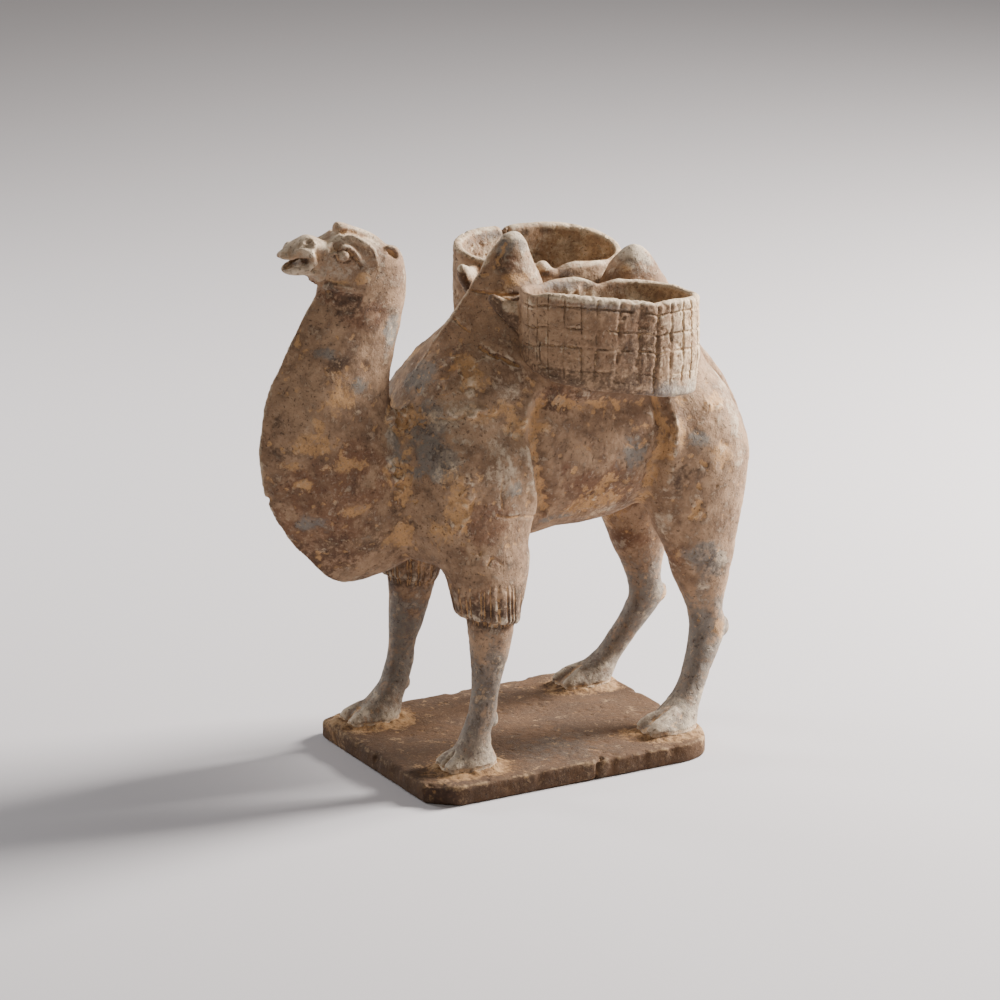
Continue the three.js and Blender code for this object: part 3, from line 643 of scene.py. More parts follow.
# The stains and the painted light: bluish grey where the clay was starved of air, ochre earth in the hollows
# and in patches, dark and rusty clouds, pale worn edges with a painted highlight on them, pale patches that
# are painted highlights, and painted shade in the mouth, in the open cracks and on the flank under the near
# pannier and its horn.
# Each patch is x, y, z, reach along and up.
STAINS_AND_PAINTED_LIGHT = {
    "grey": [
        (14.1, -87.5, 184.6, 5, 3.5), (10.9, -101.2, 199.6, 5, 3.5), (9.7, -109.6, 124.4, 7, 5),
        (22, -59, 157, 12, 18), (6, -52, 181, 8, 8), (41.6, -25.1, 134.5, 4.5, 5),
        (3, -3.4, 236.4, 8, 7), (4, 59, 222, 12, 9), (38.3, 77, 86.6, 9, 11), (23.7, 8.3, 113.2, 9, 2.4),
        (39.9, 71.4, 144.4, 7, 5), (15, -70.2, 155.8, 5, 11), (9.9, -68.8, 203.3, 6, 8),
        (34, 40, 140, 10, 8),
    ],
    "dark": [
        (7.6, -121.2, 156.8, 10, 3), (18.6, -92.2, 140.9, 3.5, 6.5), (16.4, -84, 113.5, 8, 7),
        (18.3, -71.7, 125.8, 4, 3.5), (20.9, -65.2, 120, 5, 4), (5.6, -11.5, 227, 3.4, 4.4),
        # (30.9, 3, 168.1) and (23, -7, 193) are painted shadow, cast by the near pannier and its horn on the
        # flank
        (13.2, -96.3, 194.6, 7, 4.4), (38.7, 62.3, 126.7, 7, 6), (30.9, 3, 168.1, 18, 7),
        (23, -7, 193, 9, 12), (10, -92, 221, 9, 4), (12, -100, 112, 10, 7),
        (22.5, -57, 163.9, 8, 6), (33.1, -55.3, 153.1, 6, 7), (11.4, -68.8, 214.7, 2.4, 3),
        (4.9, -123, 170.3, 2.4, 4), (3, -100.5, 99, 20, 12), (6.9, -102, 106, 16, 8),
        (40.7, 72, 130, 9.5, 4), (38, 80, 84, 9, 9), (46, -30, 104, 5, 5), (44, -38, 80, 20, 7),
        (10, -88, 217, 10, 6), (6, -99, 226, 5, 5),
    ],
    "ochre": [
        (15, -106.3, 168.8, 4, 3), (9.1, -118.5, 151.6, 8, 2), (17.6, -98.6, 150.4, 9, 3),
        (18.3, -90.7, 129.9, 7, 2.4), (11.8, -112.8, 142.3, 4.6, 3), (16.6, -68.7, 113, 8, 6),
        (9.6, -61, 165.3, 8, 6), (18.5, -68.7, 137.2, 4, 7), (14.6, -97.2, 181.8, 7, 10),
        (14.9, -108.9, 161.2, 10, 6), (34.3, -18.5, 160.9, 7, 5), (34.1, -7.3, 158.9, 7, 4),
        (32.4, 43.5, 151.5, 6.2, 2), (28, 22, 117, 15, 8), (31.4, 27.2, 130.8, 4.4, 4.4),
        (37.3, 62, 148.5, 4, 7), (36.1, 56.9, 137, 3, 8), (40.5, 84.6, 132.8, 7, 8), (40, 69.9, 109.5, 6, 5),
        (34.5, 82.8, 158.2, 7, 4), (18.3, 67, 89.4, 9.5, 9.5), (34.9, -58.2, 118.3, 7, 6),
        (10.4, -4.1, 220.7, 8, 4), (11.9, -13.2, 212.5, 7, 4), (6.7, 52.6, 217.6, 3.6, 3),
        (38.9, -53.1, 131.3, 7, 13), (23.5, -36.8, 185.7, 7, 13), (34.1, -30.4, 168.9, 15, 4),
        (12.8, -84.8, 230.8, 4, 2.6),
        (10, -80, 245.4, 4, 1.4), (9, -70.5, 239, 3, 3), (4, -84, 249, 5, 1.2),
        (12.6, -76.6, 235, 1.6, 4), (44, 60, 48, 8, 6), (30, 88, 52, 5, 7),
    ],
    # The pale patches are painted highlights on the lit shoulder, rump, hump tops and head, with some pale
    # clay among them
    "pale": [
        (38.5, 85.3, 88.5, 3.4, 5.6), (14.8, -72.3, 157.9, 4.4, 11), (36.2, 92.3, 148.5, 5, 22),
        (38.3, -16.1, 142.2, 3.8, 20), (22.3, 30.2, 112.6, 14.3, 4), (24.3, -53.2, 168.7, 7, 2),
        (33.4, 58.1, 107, 3, 10), (9, -108, 247, 10, 5), (8, -110, 236, 9, 3),
        (20, 98, 166, 9, 9), (6, 4, 226, 9, 12), (5, 61, 221, 14, 8), (12, -86, 249, 8, 4),
        (5, -78, 250, 14, 3), (34, -22, 176, 9, 6), (36, -30, 150, 13, 22), (30, -48, 160, 9, 14),
        (34, -44, 176, 12, 9),
    ],
    "rust": [
        (4.9, -99.2, 225.4, 5, 6), (4.7, -102.3, 105.7, 19, 13), (5.2, -112.5, 119.2, 14, 12),
        # (29.8, 4.8, 170.9) is painted shadow under the near pannier
        (14.2, -102.5, 125.8, 20, 16), (29.8, 4.8, 170.9, 18, 6), (6, -85.6, 250, 6, 2), (8, -6, 227, 4, 6),
        (24.4, 64.7, 86.1, 9.5, 9.5), (12, 70, 100, 12, 12), (16, -40, 108, 10, 10), (40, -40, 84, 18, 9),
        (12, -86, 214, 12, 10), (8, -96, 223, 8, 6), (10, -98, 140, 26, 18),
        (44, -40, 122, 16, 13), (30, 25, 128, 24, 18),
    ],
}
TONES = ("grey", "ochre", "dark", "pale", "rust")
MOST = {"grey": 0.95, "ochre": 0.9, "dark": 0.66, "pale": 0.5, "rust": 1}
FAR_PATCHES, FAR_SHIFT = 0.9, 7  # the far side has the same patches, painted light among them, a little weaker and moved
UNDER_JAW, CHEEK = (8, -92, 222, 14, 6), (12.8, -84.8, 230.8, 4, 2.4)
MOUTH_HALF, SHADED_SHIN = 5, 44
OPEN_CRACK, DEEP_MARK, NARROW = 1.5, 0.9, 1.5  # depths that darken a mark narrower than the last
CLOSE_RUBS, WIDE_RUBS = 6, 50


def stand_out(points, normals, edges, times):
    """How far each point stands above the surface round it, in millimetres: its gap along the normal
    from where it goes when the mesh is rubbed so many times."""
    return ((points - rubbed(points, edges, times, 0.6)) * normals).sum(axis=1)


def keep_stains_and_painted_light(piece, masks):
    """Stores the tones' masks, about 0 to 1, as two colour attributes of the points: the first holds the
    grey, ochre and dark tones, the second the pale and rust tones, and both carry painted light as well as
    stains and wear.
    """
    blank = np.zeros(len(piece.data.vertices))
    for name, tones in (("stains_and_painted_shade", TONES[:3]), ("wear_and_painted_light", TONES[3:])):
        channels = [np.clip(masks[tone], 0, 1) for tone in tones] + [blank] * (4 - len(tones))
        layer = piece.data.color_attributes.new(name, "FLOAT_COLOR", "POINT")
        layer.data.foreach_set("color", np.stack(channels, 1).astype(np.float32).ravel())


def felt(piece, wide_rubs=WIDE_RUBS):
    """The piece's points and normals, and how far each point stands out of the surface close round it
    and out of the form at large."""
    points, normals, edges = points_of(piece.data), normals_of(piece.data), edges_of(piece.data)
    fold, form_edge = (stand_out(points, normals, edges, times) for times in (CLOSE_RUBS, wide_rubs))
    return points, normals, fold, form_edge


CAMEL_POINTS, CAMEL_NORMALS, fold, form_edge = felt(camel)
points = CAMEL_POINTS
ragged = cloud(points, 6, 21)
masks = {tone: np.zeros(len(points)) for tone in TONES}
for tone, patches in STAINS_AND_PAINTED_LIGHT.items():
    for count, (cx, cy, cz, wide, high) in enumerate(patches):
        shift = FAR_SHIFT * np.sin(count * 2.1)
        here = patch(points, ragged, cx, cy, cz, wide, high)
        there = patch(points, ragged, -cx, cy + shift, cz - 0.6 * shift, wide, high)
        masks[tone] = np.maximum(masks[tone], np.maximum(here, FAR_PATCHES * there) * MOST[tone])
head, face = region(points, "head"), region(points, "face")
shin = region(points, "shins")
# The mouth region takes painted shade: the dark and rust tones between the lips
mouth = (np.abs(points[:, 0]) < MOUTH_HALF) * region(points, "mouth")
masks["grey"] = np.maximum(masks["grey"], 0.8 * shin)
masks["grey"] += 0.3 * (cloud(points, 30, 31) - 0.35) + 0.25 * face
masks["ochre"] += 0.9 * step(0.03, 0.16, -fold) + 0.5 * step(0.1, 0.7, -form_edge)
masks["ochre"] += 0.8 * region(points, "soles") + 0.5 * (cloud(points, 24, 33) - 0.42)
masks["ochre"] *= (1 - 0.85 * patch(points, ragged, *UNDER_JAW)) * (1 - 0.45 * head)
masks["ochre"] += 0.9 * patch(points, ragged, *CHEEK)
masks["dark"] += 0.45 * (cloud(points, 34, 35) - 0.4) + 1.2 * mouth + 0.6 * region(points, "tuft hem")
masks["dark"] += 0.5 * shin * bell((np.abs(points[:, 0]) - SHADED_SHIN, 5))
# Pale on raised edges and folds: worn clay with a painted highlight on it. Also paler on faces that look up,
# above 100 to 140 mm
masks["pale"] += 0.55 * step(0.08, 0.3, fold) * (1 - 0.65 * head) + 0.12 * step(0.5, 1.6, form_edge)
masks["pale"] += 0.25 * step(0.3, 1, CAMEL_NORMALS[:, 2]) * step(100, 140, points[:, 2])
masks["pale"] += 0.32 * face + 0.45 * region(points, "feet")
masks["rust"] += 0.7 * mouth
# Painted shade in the open cracks: the dark tone in the narrow deep ones, the rust tone in their troughs
for count, (width, depth, line) in enumerate(CRACKS):
    if width < NARROW and depth > OPEN_CRACK:
        masks["dark"] += 1.4 * scored(points, line, width, 1, count)
    if width < NARROW and depth > DEEP_MARK:
        masks["rust"] += 1.2 * np.clip(scored(points, line, 1.3 * width, 1, count), 0, 1)
keep_stains_and_painted_light(camel, masks)


def tint(red, green, blue):
    """The light colour value of a colour given as on a screen, 0 to 255."""
    share = np.array([red, green, blue]) / 255
    light = np.where(share <= 0.04045, share / 12.92, ((share + 0.055) / 1.055) ** 2.4)
    return (*light.tolist(), 1.0)


def put(tree, kind, inputs, **settings):
    """A node with its settings, and for each input a value or the output that feeds it."""
    made = tree.nodes.new(kind)
    for name, value in settings.items():
        setattr(made, name, value)
    for name, value in inputs.items():
        if isinstance(value, bpy.types.NodeSocket):
            tree.links.new(value, made.inputs[name])
        else:
            made.inputs[name].default_value = value
    return made


def sum_of(tree, *terms):
    """The terms added up, each a socket and its factor and offset."""
    total = None
    for value, factor, offset in terms:
        inputs = {0: value, 1: factor, 2: offset}
        part = put(tree, "ShaderNodeMath", inputs, operation="MULTIPLY_ADD").outputs[0]
        total = part if total is None else put(tree, "ShaderNodeMath", {0: total, 1: part}).outputs[0]
    return total


def rise(tree, value, low, high, top=1.0):
    """0 below low, top above high, and smooth between."""
    return put(
        tree, "ShaderNodeMapRange", {"Value": value, "From Min": low, "From Max": high, "To Max": top},
        interpolation_type="SMOOTHSTEP",
    ).outputs[0]


def blend(tree, share, first, second, how="MIX"):
    """The second colour laid over the first by that share."""
    inputs = {0: share, 6: first, 7: second}
    return put(tree, "ShaderNodeMix", inputs, data_type="RGBA", blend_type=how).outputs[2]


NOISES = [  # drift, blot, web, fleck, grain and pit: scale, detail, distortion
    (42, 4, 0.2), (150, 6, 0), (170, 5, 0.1), (560, 5, 0), (2400, 3, 0), (720, 2, 0),
]
LAYERS = [  # tone, its most, how much the flecks break its edge, and where it begins and is full
    ("rust", 0.7, 1.6, 0.1, 1.1), ("grey", 0.8, 1.6, 0.15, 1.0), ("dark", 0.8, 2.0, 0.2, 1.05),
    ("ochre", 0.75, 2.6, 0.3, 1.05), ("pale", 0.65, 2.0, 0.15, 1.1),
]
BLOT_EDGE = 2.2
PIT_RANGE = (0.37, 0.3)
SPECKS = [  # tone, noise, where in it they begin and are full, and their most
    ("Dark", "fleck", 0.55, 0.7, 0.5), ("Pale", "fleck", 0.47, 0.25, 0.16), ("Dark", "pit", *PIT_RANGE, 0.5),
]


def mottled_clay():
    """Old low-fired clay: two tones of the body in clouds, the stains and the painted shade and highlights
    with their edges lost in noise, darker clouds, specks, pits and grain. It gives colour, roughness and
    height."""
    tree = bpy.data.node_groups.new("mottled_clay", "ShaderNodeTree")
    colours = ["Clay", "Second clay", "Grey", "Ochre", "Dark", "Pale", "Rust"]
    sockets = [(name, "INPUT", "Color") for name in colours]
    sockets += [(name, "INPUT", "Float") for name in [tone + " mask" for tone in TONES] + ["Mottle"]]
    sockets += [("Colour", "OUTPUT", "Color"), ("Roughness", "OUTPUT", "Float")]
    sockets += [("Height", "OUTPUT", "Float")]
    for name, way, kind in sockets:
        tree.interface.new_socket(name=name, in_out=way, socket_type="NodeSocket" + kind)
    given = tree.nodes.new("NodeGroupInput").outputs
    where = tree.nodes.new("ShaderNodeTexCoord").outputs["Object"]
    drift, blot, web, fleck, grain, pit = (
        put(tree, "ShaderNodeTexNoise", {
            "Vector": where, "Scale": scale, "Detail": detail, "Roughness": 0.6, "Distortion": bend,
        }).outputs[0]
        for scale, detail, bend in NOISES
    )
    colour = blend(tree, rise(tree, sum_of(tree, (drift, 0.5, 0), (blot, 0.5, 0)), 0.38, 0.62),
                   given["Clay"], given["Second clay"])
    for tone, most, grainy, low, high in LAYERS:
        level = sum_of(tree, (given[tone + " mask"], 1, 0), (blot, BLOT_EDGE, -BLOT_EDGE / 2),
                       (fleck, grainy, -grainy / 2))
        colour = blend(tree, rise(tree, level, low, high, most), colour, given[tone.capitalize()])
    cloudy = put(tree, "ShaderNodeMath", {0: rise(tree, web, 0.47, 0.68, 0.4), 1: given["Mottle"]},
                 operation="MULTIPLY").outputs[0]
    colour = blend(tree, cloudy, colour, given["Dark"])
    for tone, noise, low, high, most in SPECKS:
        share = rise(tree, fleck if noise == "fleck" else pit, low, high, most)
        colour = blend(tree, share, colour, given[tone])
    put(tree, "NodeGroupOutput", {
        "Colour": blend(tree, 1.0, colour, sum_of(tree, (grain, 0.5, 0.75)), "MULTIPLY"),
        "Roughness": sum_of(tree, (fleck, 0.16, 0.78)),
        "Height": sum_of(tree, (blot, 0.5, 0), (fleck, 0.9, 0), (grain, 0.3, 0),
                         (rise(tree, pit, *PIT_RANGE), -0.9, 0)),
    })
    return tree


CLAY_GROUP = mottled_clay()


def earthenware(name, depth, mottle, **tones):
    """A clay material: the shared group with this piece's tones and mottling, and a bump of that depth."""
    made = bpy.data.materials.new(name)
    made.use_nodes = True
    tree = made.node_tree
    stains_and_painted_shade, wear_and_painted_light = (
        put(tree, "ShaderNodeSeparateColor",
            {0: put(tree, "ShaderNodeAttribute", {}, attribute_name=layer).outputs["Color"]}).outputs
        for layer in ("stains_and_painted_shade", "wear_and_painted_light")
    )
    masks = {tone + " mask": socket for tone, socket in zip(TONES, [*stains_and_painted_shade[:3], *wear_and_painted_light[:2]])}
    colours = {tone.replace("_", " ").capitalize(): tint(*value) for tone, value in tones.items()}
    group = put(tree, "ShaderNodeGroup", {}, node_tree=CLAY_GROUP)
    for socket, value in {**masks, **colours}.items():
        if isinstance(value, tuple):
            group.inputs[socket].default_value = value
        else:
            tree.links.new(value, group.inputs[socket])
    group.inputs["Mottle"].default_value = mottle
    bump = put(tree, "ShaderNodeBump", {"Height": group.outputs["Height"], "Distance": depth})
    shader = tree.nodes["Principled BSDF"]
    for socket, value in (("Base Color", group.outputs["Colour"]), ("Roughness", group.outputs["Roughness"]),
                          ("Normal", bump.outputs[0])):
        tree.links.new(value, shader.inputs[socket])
    shader.inputs["Specular IOR Level"].default_value = 0.25
    return made


def fired(piece, clay):
    """Turns a finished piece from millimetres into metres and gives it its clay."""
    set_points(piece.data, points_of(piece.data) * MM)
    piece.data.shade_smooth()
    piece.data.materials.append(clay)


# The dark, pale and rust tones give the painted shade and highlights as well as the stains
fired(camel, earthenware(
    "camel_earthenware", 0.0005, 0.8, clay=(162, 132, 104), second_clay=(114, 88, 68), grey=(124, 120, 113),
    ochre=(196, 152, 104), dark=(66, 52, 44), pale=(218, 198, 171), rust=(108, 73, 53),
))
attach(camel, "root")
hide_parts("camel")

# The panniers: two open oval baskets of slab clay, luted to the flanks behind the front hump. Each
# wall is pressed up by hand to an uneven rim, scored with a grid that stands for wickerwork, and
# turned out in front into a horn that holds the load.
BASKETS = {  # height of the rim, its slopes in degrees, and half width, half length and fullness of the plan
    "pannier_left": dict(lie=1, rim=216.1, lean=-2.8, pitch=7.8, wide=22.2, long=43.6, full=2.35),
    "pannier_right": dict(lie=-1, rim=223.5, lean=14.2, pitch=3.8, wide=22.6, long=42, full=2.05),
}
SHALLOW, DEEP, SAG, TUCK = 25, 42.4, 0.07, 0.03  # depth inside and outside, drop rearwards, narrowing
WALL, BED, BEND, LIP = 4.2, 5.4, 3, 1.5  # thicknesses, and the roundings of the foot and the rim
WALL_SPACING, HUGGING = 0.52, 30  # the second is how far out the wall beside the camel reaches
RIMS = {  # round the rim from its outermost place towards the rear, in degrees: rise in millimetres
    "pannier_left": [
        (0, 0.6), (7, 0.4), (12, -1), (19, 0.2), (33, 0.9), (49, 0.7), (70, 0.6), (97, -0.2), (115, 0.6),
        (143, 0.4), (162, 0), (169, -1.6), (174, -2.7), (179, -0.9), (184, 0.7), (193, 0), (202, -0.9),
        (213, -2.2), (235, -1.6), (262, -1.9), (282, -1.6), (294, 0.5), (308, 1.2), (328, 1.5), (345, 1.4),
    ],
    "pannier_right": [
        (6, 0), (19, 0.5), (35, 0.9), (51, 0.6), (64, 0.2), (80, -0.6), (99, -0.8), (118, -1.2), (136, -1.8),
        (150, -0.4), (160, 0.4), (169, 1.1), (177, 0.3), (184, -1.6), (189, 0.3), (193, 1.4), (198, 0.2),
        (204, 0.7), (237, 0.2), (270, 0.4), (300, 0.2), (322, 0.4), (336, -0.2), (346, -0.7), (349, -1.9),
        (351.5, -3.4), (354, -1.6), (358, -0.8),
    ],
}
UPRIGHTS = {  # the scored upright lines: place round the basket at the rim, and lower down
    "pannier_left": [
        (-86, -86), (-73, -74), (-61, -62), (-46, -47.5), (-33, -33.5), (-21.5, -24), (-7, -10), (2, 1),
        (12.5, 11.5), (22.5, 22), (34, 34), (44, 45), (55, 56), (68, 67), (80, 79), (93, 92), (106, 104),
    ],
    "pannier_right": [
        (-98, -97), (-86, -85), (-75, -76), (-64, -65), (-54, -55.5), (-45, -47), (-37, -38), (-29, -30),
        (-19, -18), (-8, -9), (3, 4), (14, 15), (26, 25), (38, 38), (50, 51), (63, 62), (76, 77), (90, 89),
    ],
}
# The scored lines that run round: how deep under the rim, and how strong.
ROWS = [(5.2, 1), (14.6, 1), (22.8, 1), (33.5, 0.5)]
SCORE_DEPTH, SCORE_WIDTH, BURR = 0.72, 0.42, 0.1
WALL_CRACKS = [(2.5, 3.4, 12.5, 0.9), (11, 30, 44, 0.9), (-71, 22, 30, 1.1)]  # angle, from, to, depth
HORN = [  # lower y, z, upper y, z, half width, distance out, for the near pannier
    (-1, 197.2, 1, 212.6, 5.2, 25), (-7.4, 197.8, -4.4, 213.3, 5.2, 23.5),
    (-11.4, 199.2, -8.1, 213.6, 5.1, 22),
    (-14.4, 201.8, -11, 213.5, 4.8, 20), (-16.5, 204.6, -13.4, 213.9, 4.5, 18),
    (-19.4, 207.8, -16.6, 215.4, 3.9, 15.8), (-21, 210.4, -18.5, 216.4, 3.3, 14.6),
    (-22, 212.4, -20.2, 217, 2.6, 13.6), (-22.4, 214.5, -21.4, 216.2, 1.2, 13),
]


def level(basket, across, along):
    """Height of the rim's slanting plane: the lean lifts it outwards, the pitch lowers it rearwards."""
    lean, pitch = np.radians((basket["lean"], basket["pitch"]))
    return basket["rim"] + across * np.tan(lean) - along * np.tan(pitch)


def wave(name, turn):
    """Rise of the rim at each angle, a smooth run through the table."""
    table = np.array(RIMS[name], float)
    return np.interp(np.degrees(turn) % 360, table[:, 0], table[:, 1], period=360)


def basket_skin(name, sides=300):
    """The basket as a closed skin of rings: plan (|x| / wide)^full + (|y| / long)^full = 1 shrunk by an
    inset, and depths from 0 at the rim to the slanting underside and bed, rounded where they meet."""
    basket = BASKETS[name]
    turn = np.linspace(0, 2 * np.pi, sides, endpoint=False)[None, :]
    side_x, side_y = (np.sign(s) * np.abs(s) ** (2 / basket["full"]) for s in (np.cos(turn), np.sin(turn)))
    arc = np.linspace(0, np.pi / 2, 9)[:, None]
    over = np.linspace(0, np.pi, 15)[:, None]
    rim_circle = 8 * np.stack([np.cos(turn[0]), np.sin(turn[0]), 0 * turn[0]], 1)
    wall = WALL + waver(rim_circle, 3, 0.8, 4, layers=3)
    down = np.linspace(0, 1, 60)[1:-1, None]
    inward = np.linspace(1, 0.04, 14)[:, None]
    one = 1 + 0 * turn
    runs = [  # share of the plan, inset, share of the depth, millimetres added to it, and the depth
        (inward[::-1] * one, BEND * one, one, 0, DEEP),
        (one, BEND - BEND * np.sin(arc), one, BEND * np.cos(arc) - BEND, DEEP),
        (one, 0 * one, 1 - down, LIP * down - BEND * (1 - down), DEEP),
        (one, wall / 2 * (1 - np.cos(over)), 0 * one, LIP - LIP * np.sin(over), DEEP),
        (one, wall + 0 * down, down, LIP * (1 - down) - BEND * down, DEEP - BED),
        (one, wall + BEND - BEND * np.cos(arc), one, BEND * np.sin(arc) - BEND, DEEP - BED),
        (inward * one, wall + BEND, one, 0, DEEP - BED),
    ]
    rings = []
    for share, inset, deep, extra, most in runs:
        across, along = side_x * (basket["wide"] - inset) * share, side_y * (basket["long"] - inset) * share
        inner_share = np.clip((1 - across / basket["wide"]) / 2, 0, 1) ** 2.5
        depth = deep * (most - inner_share * (DEEP - SHALLOW) + along * SAG) + extra
        sunk = np.clip(depth / 40, 0, 1)
        tuck = 1 - TUCK * step(0.6, 1, sunk) if most == DEEP else 1
        high = level(basket, across, along) - depth + wave(name, turn) * fall(0, 0.5, sunk)
        places = basket["lie"] * (OUT + across * tuck), BEHIND + along * tuck, high
        rings.append(np.stack(np.broadcast_arrays(*places), -1))
    points, faces = skin(np.concatenate(rings))
    return points, faces if basket["lie"] > 0 else [face[::-1] for face in faces]


NOTHING_THERE = -999.0


def reach_of(points, first, second, value, cells=1.2):
    """The largest of one coordinate over small cells of the other two, as a function of place."""
    low = points[:, [first, second]].min(0) - 2 * cells
    size = ((points[:, [first, second]].max(0) - low) / cells).astype(int) + 3
    grid = np.full(size, NOTHING_THERE)
    place = ((points[:, [first, second]] - low) / cells).astype(int)
    np.maximum.at(grid, (place[:, 0], place[:, 1]), points[:, value])

    def largest(where):
        cell = np.clip(((where[:, [first, second]] - low) / cells).astype(int), 0, size - 1)
        return grid[cell[:, 0], cell[:, 1]]

    return largest


def clear_of_camel(points, lie, room, some):
    """Those of some points that are inside the camel, grown by the room in millimetres, go out of it
    by the shorter way: outwards or up."""
    grown = CAMEL_POINTS + CAMEL_NORMALS * room
    grown = grown[lie * grown[:, 0] > 0] * (lie, 1, 1)
    outward, upward = reach_of(grown, 1, 2, 0), reach_of(grown, 0, 1, 2)
    here = points * (lie, 1, 1)
    side_gap, top_gap = outward(here) - here[:, 0], upward(here) - here[:, 2]
    inside = (side_gap > 0) & (top_gap > 0) & some
    sideways = inside & (side_gap <= 1.5 * top_gap)
    here[:, 0] += np.where(sideways, side_gap, 0)
    here[:, 2] += np.where(inside & ~sideways, top_gap, 0)
    return here * (lie, 1, 1)


def round_gap(turn, angle, size):
    """Distance round the wall from an angle, less than 0 before it."""
    return np.angle(np.exp(1j * (turn - angle))) * size


def scratch(gap):
    """Section of a scored line: a hollow with a slight burr on each side."""
    return bell((gap, SCORE_WIDTH)) - BURR * bell((np.abs(gap) - 1.1, 0.4))


def near_marks(points, turn, depth, size, inner, outer, sway):
    """Crumbs of earth under the inner rim, cracks in the wall and a fold in the rim."""
    degrees = np.degrees(turn) % 360
    crumbs = bell((degrees - 190, 11), (depth - 8, 4.5)) * step(0.4, 0.7, cloud(points, 3.6, 48, 2))
    height = 3.2 * crumbs * inner
    for angle, start, end, cut in WALL_CRACKS:
        gap = round_gap(turn, np.radians(angle), size) + 0.5 * sway
        height -= cut * bell((gap, 0.6)) * step(start - 1, start, depth) * fall(end, end + 1, depth) * outer
    fold = (degrees - 140 - 2.2 * depth) * 0.4
    return height - 1.3 * bell((fold, 0.7)) * inner * fall(5, 8, depth)


def far_marks(points, turn, depth, size, inner):
    """A fold in the inner wall under the nick in the rim, a lump on the rim, and crumbs of earth."""
    degrees = np.degrees(turn) % 360
    fold = round_gap(turn, np.radians(351.5 - 0.7 * depth), size)
    height = -1.4 * bell((fold, 1.1)) * inner * fall(10, 22, depth)
    height += 1.6 * bell((degrees - 194, 5), (depth - 1.5, 2.5))
    crumbs = step(0.5, 0.75, cloud(points, 3, 48, 2)) * bell((degrees - 70, 25))
    return height + 0.9 * crumbs * inner * step(4, 9, depth)


INNER_ROOM, OUTER_ROOM = 3.4, 0.3


def pannier(name):
    """The basket and its horn, run together, scored and cracked, and pushed clear of the camel. The
    turn is the plan's own angle round the wall, and the depth is measured down from the uneven rim."""
    basket = BASKETS[name]
    lie, wide, long, full = (basket[key] for key in ("lie", "wide", "long", "full"))
    lift = basket["rim"] - BASKETS["pannier_left"]["rim"]
    horn = [(a, b + lift, c, d + lift, *rest) for a, b, c, d, *rest in HORN]
    piece = mesh_of(name + "_clay", [basket_skin(name), form(horn, rings=60, sides=40, lie=lie)])
    run_together(piece, WALL_SPACING)
    edges = edges_of(piece.data)
    points = rubbed(points_of(piece.data), edges, times=3, share=0.5)
    set_points(piece.data, points)
    normals = normals_of(piece.data)
    across, along = lie * points[:, 0] - OUT, points[:, 1] - BEHIND
    far_out = (np.abs(across / wide) ** full + np.abs(along / long) ** full) ** (1 / full)
    turn = np.arctan2(np.sign(along) * np.abs(along / long) ** (full / 2),
                      np.sign(across) * np.abs(across / wide) ** (full / 2))
    size = np.hypot(wide * np.cos(turn), long * np.sin(turn))
    depth = level(basket, across, along) + wave(name, turn) - points[:, 2]
    facing = across * normals[:, 0] * lie / wide**2 + along * normals[:, 1] / long**2
    inner = (facing < 0) * (depth > 0)
    outer = step(0.86, 0.93, far_out) * step(0.3, 1.5, depth) * (facing > 0.001) * (far_out < 1.08)
    height = waver(points, 22, 1.3, 41) + waver(points, 8, 0.5, 42) + waver(points, 2.6, 0.35, 43)
    sway = waver(points, 12, 1.5, 44)
    scores = np.zeros(len(points))
    for top, low in UPRIGHTS[name]:
        middle = np.radians(top + (low - top) * np.clip(depth / 30, 0, 1.3))
        mark = scratch(round_gap(turn, middle, size) + 0.35 * sway)
        scores += mark * step(-0.5, 1.5, depth) * fall(34, 40, depth)
    for row, strength in ROWS:
        scores += scratch(depth - row + 0.5 * sway) * strength
    worn = 0.25 + step(0.3, 0.55, cloud(points, 6, 45, 2))
    height -= SCORE_DEPTH * np.clip(scores, -0.2, 1.3) * outer * worn
    height -= 0.4 * step(0.62, 0.78, cloud(points, 2, 46, 1)) * step(0.45, 0.6, cloud(points, 14, 47, 2))
    if lie > 0:
        height += near_marks(points, turn, depth, size, inner, outer, sway)
    else:
        height += far_marks(points, turn, depth, size, inner)
    points = points + normals * height[:, None]
    points = clear_of_camel(points, lie, INNER_ROOM, inner | (far_out < 0.8) & (normals[:, 2] > 0))
    points = clear_of_camel(points, lie, OUTER_ROOM, True)
    hugging = (lie * points[:, 0] < HUGGING)[:, None]
    set_points(piece.data, np.where(hugging, rubbed(points, edges, times=14, share=0.5), points))
    thin_out(piece)
    return piece


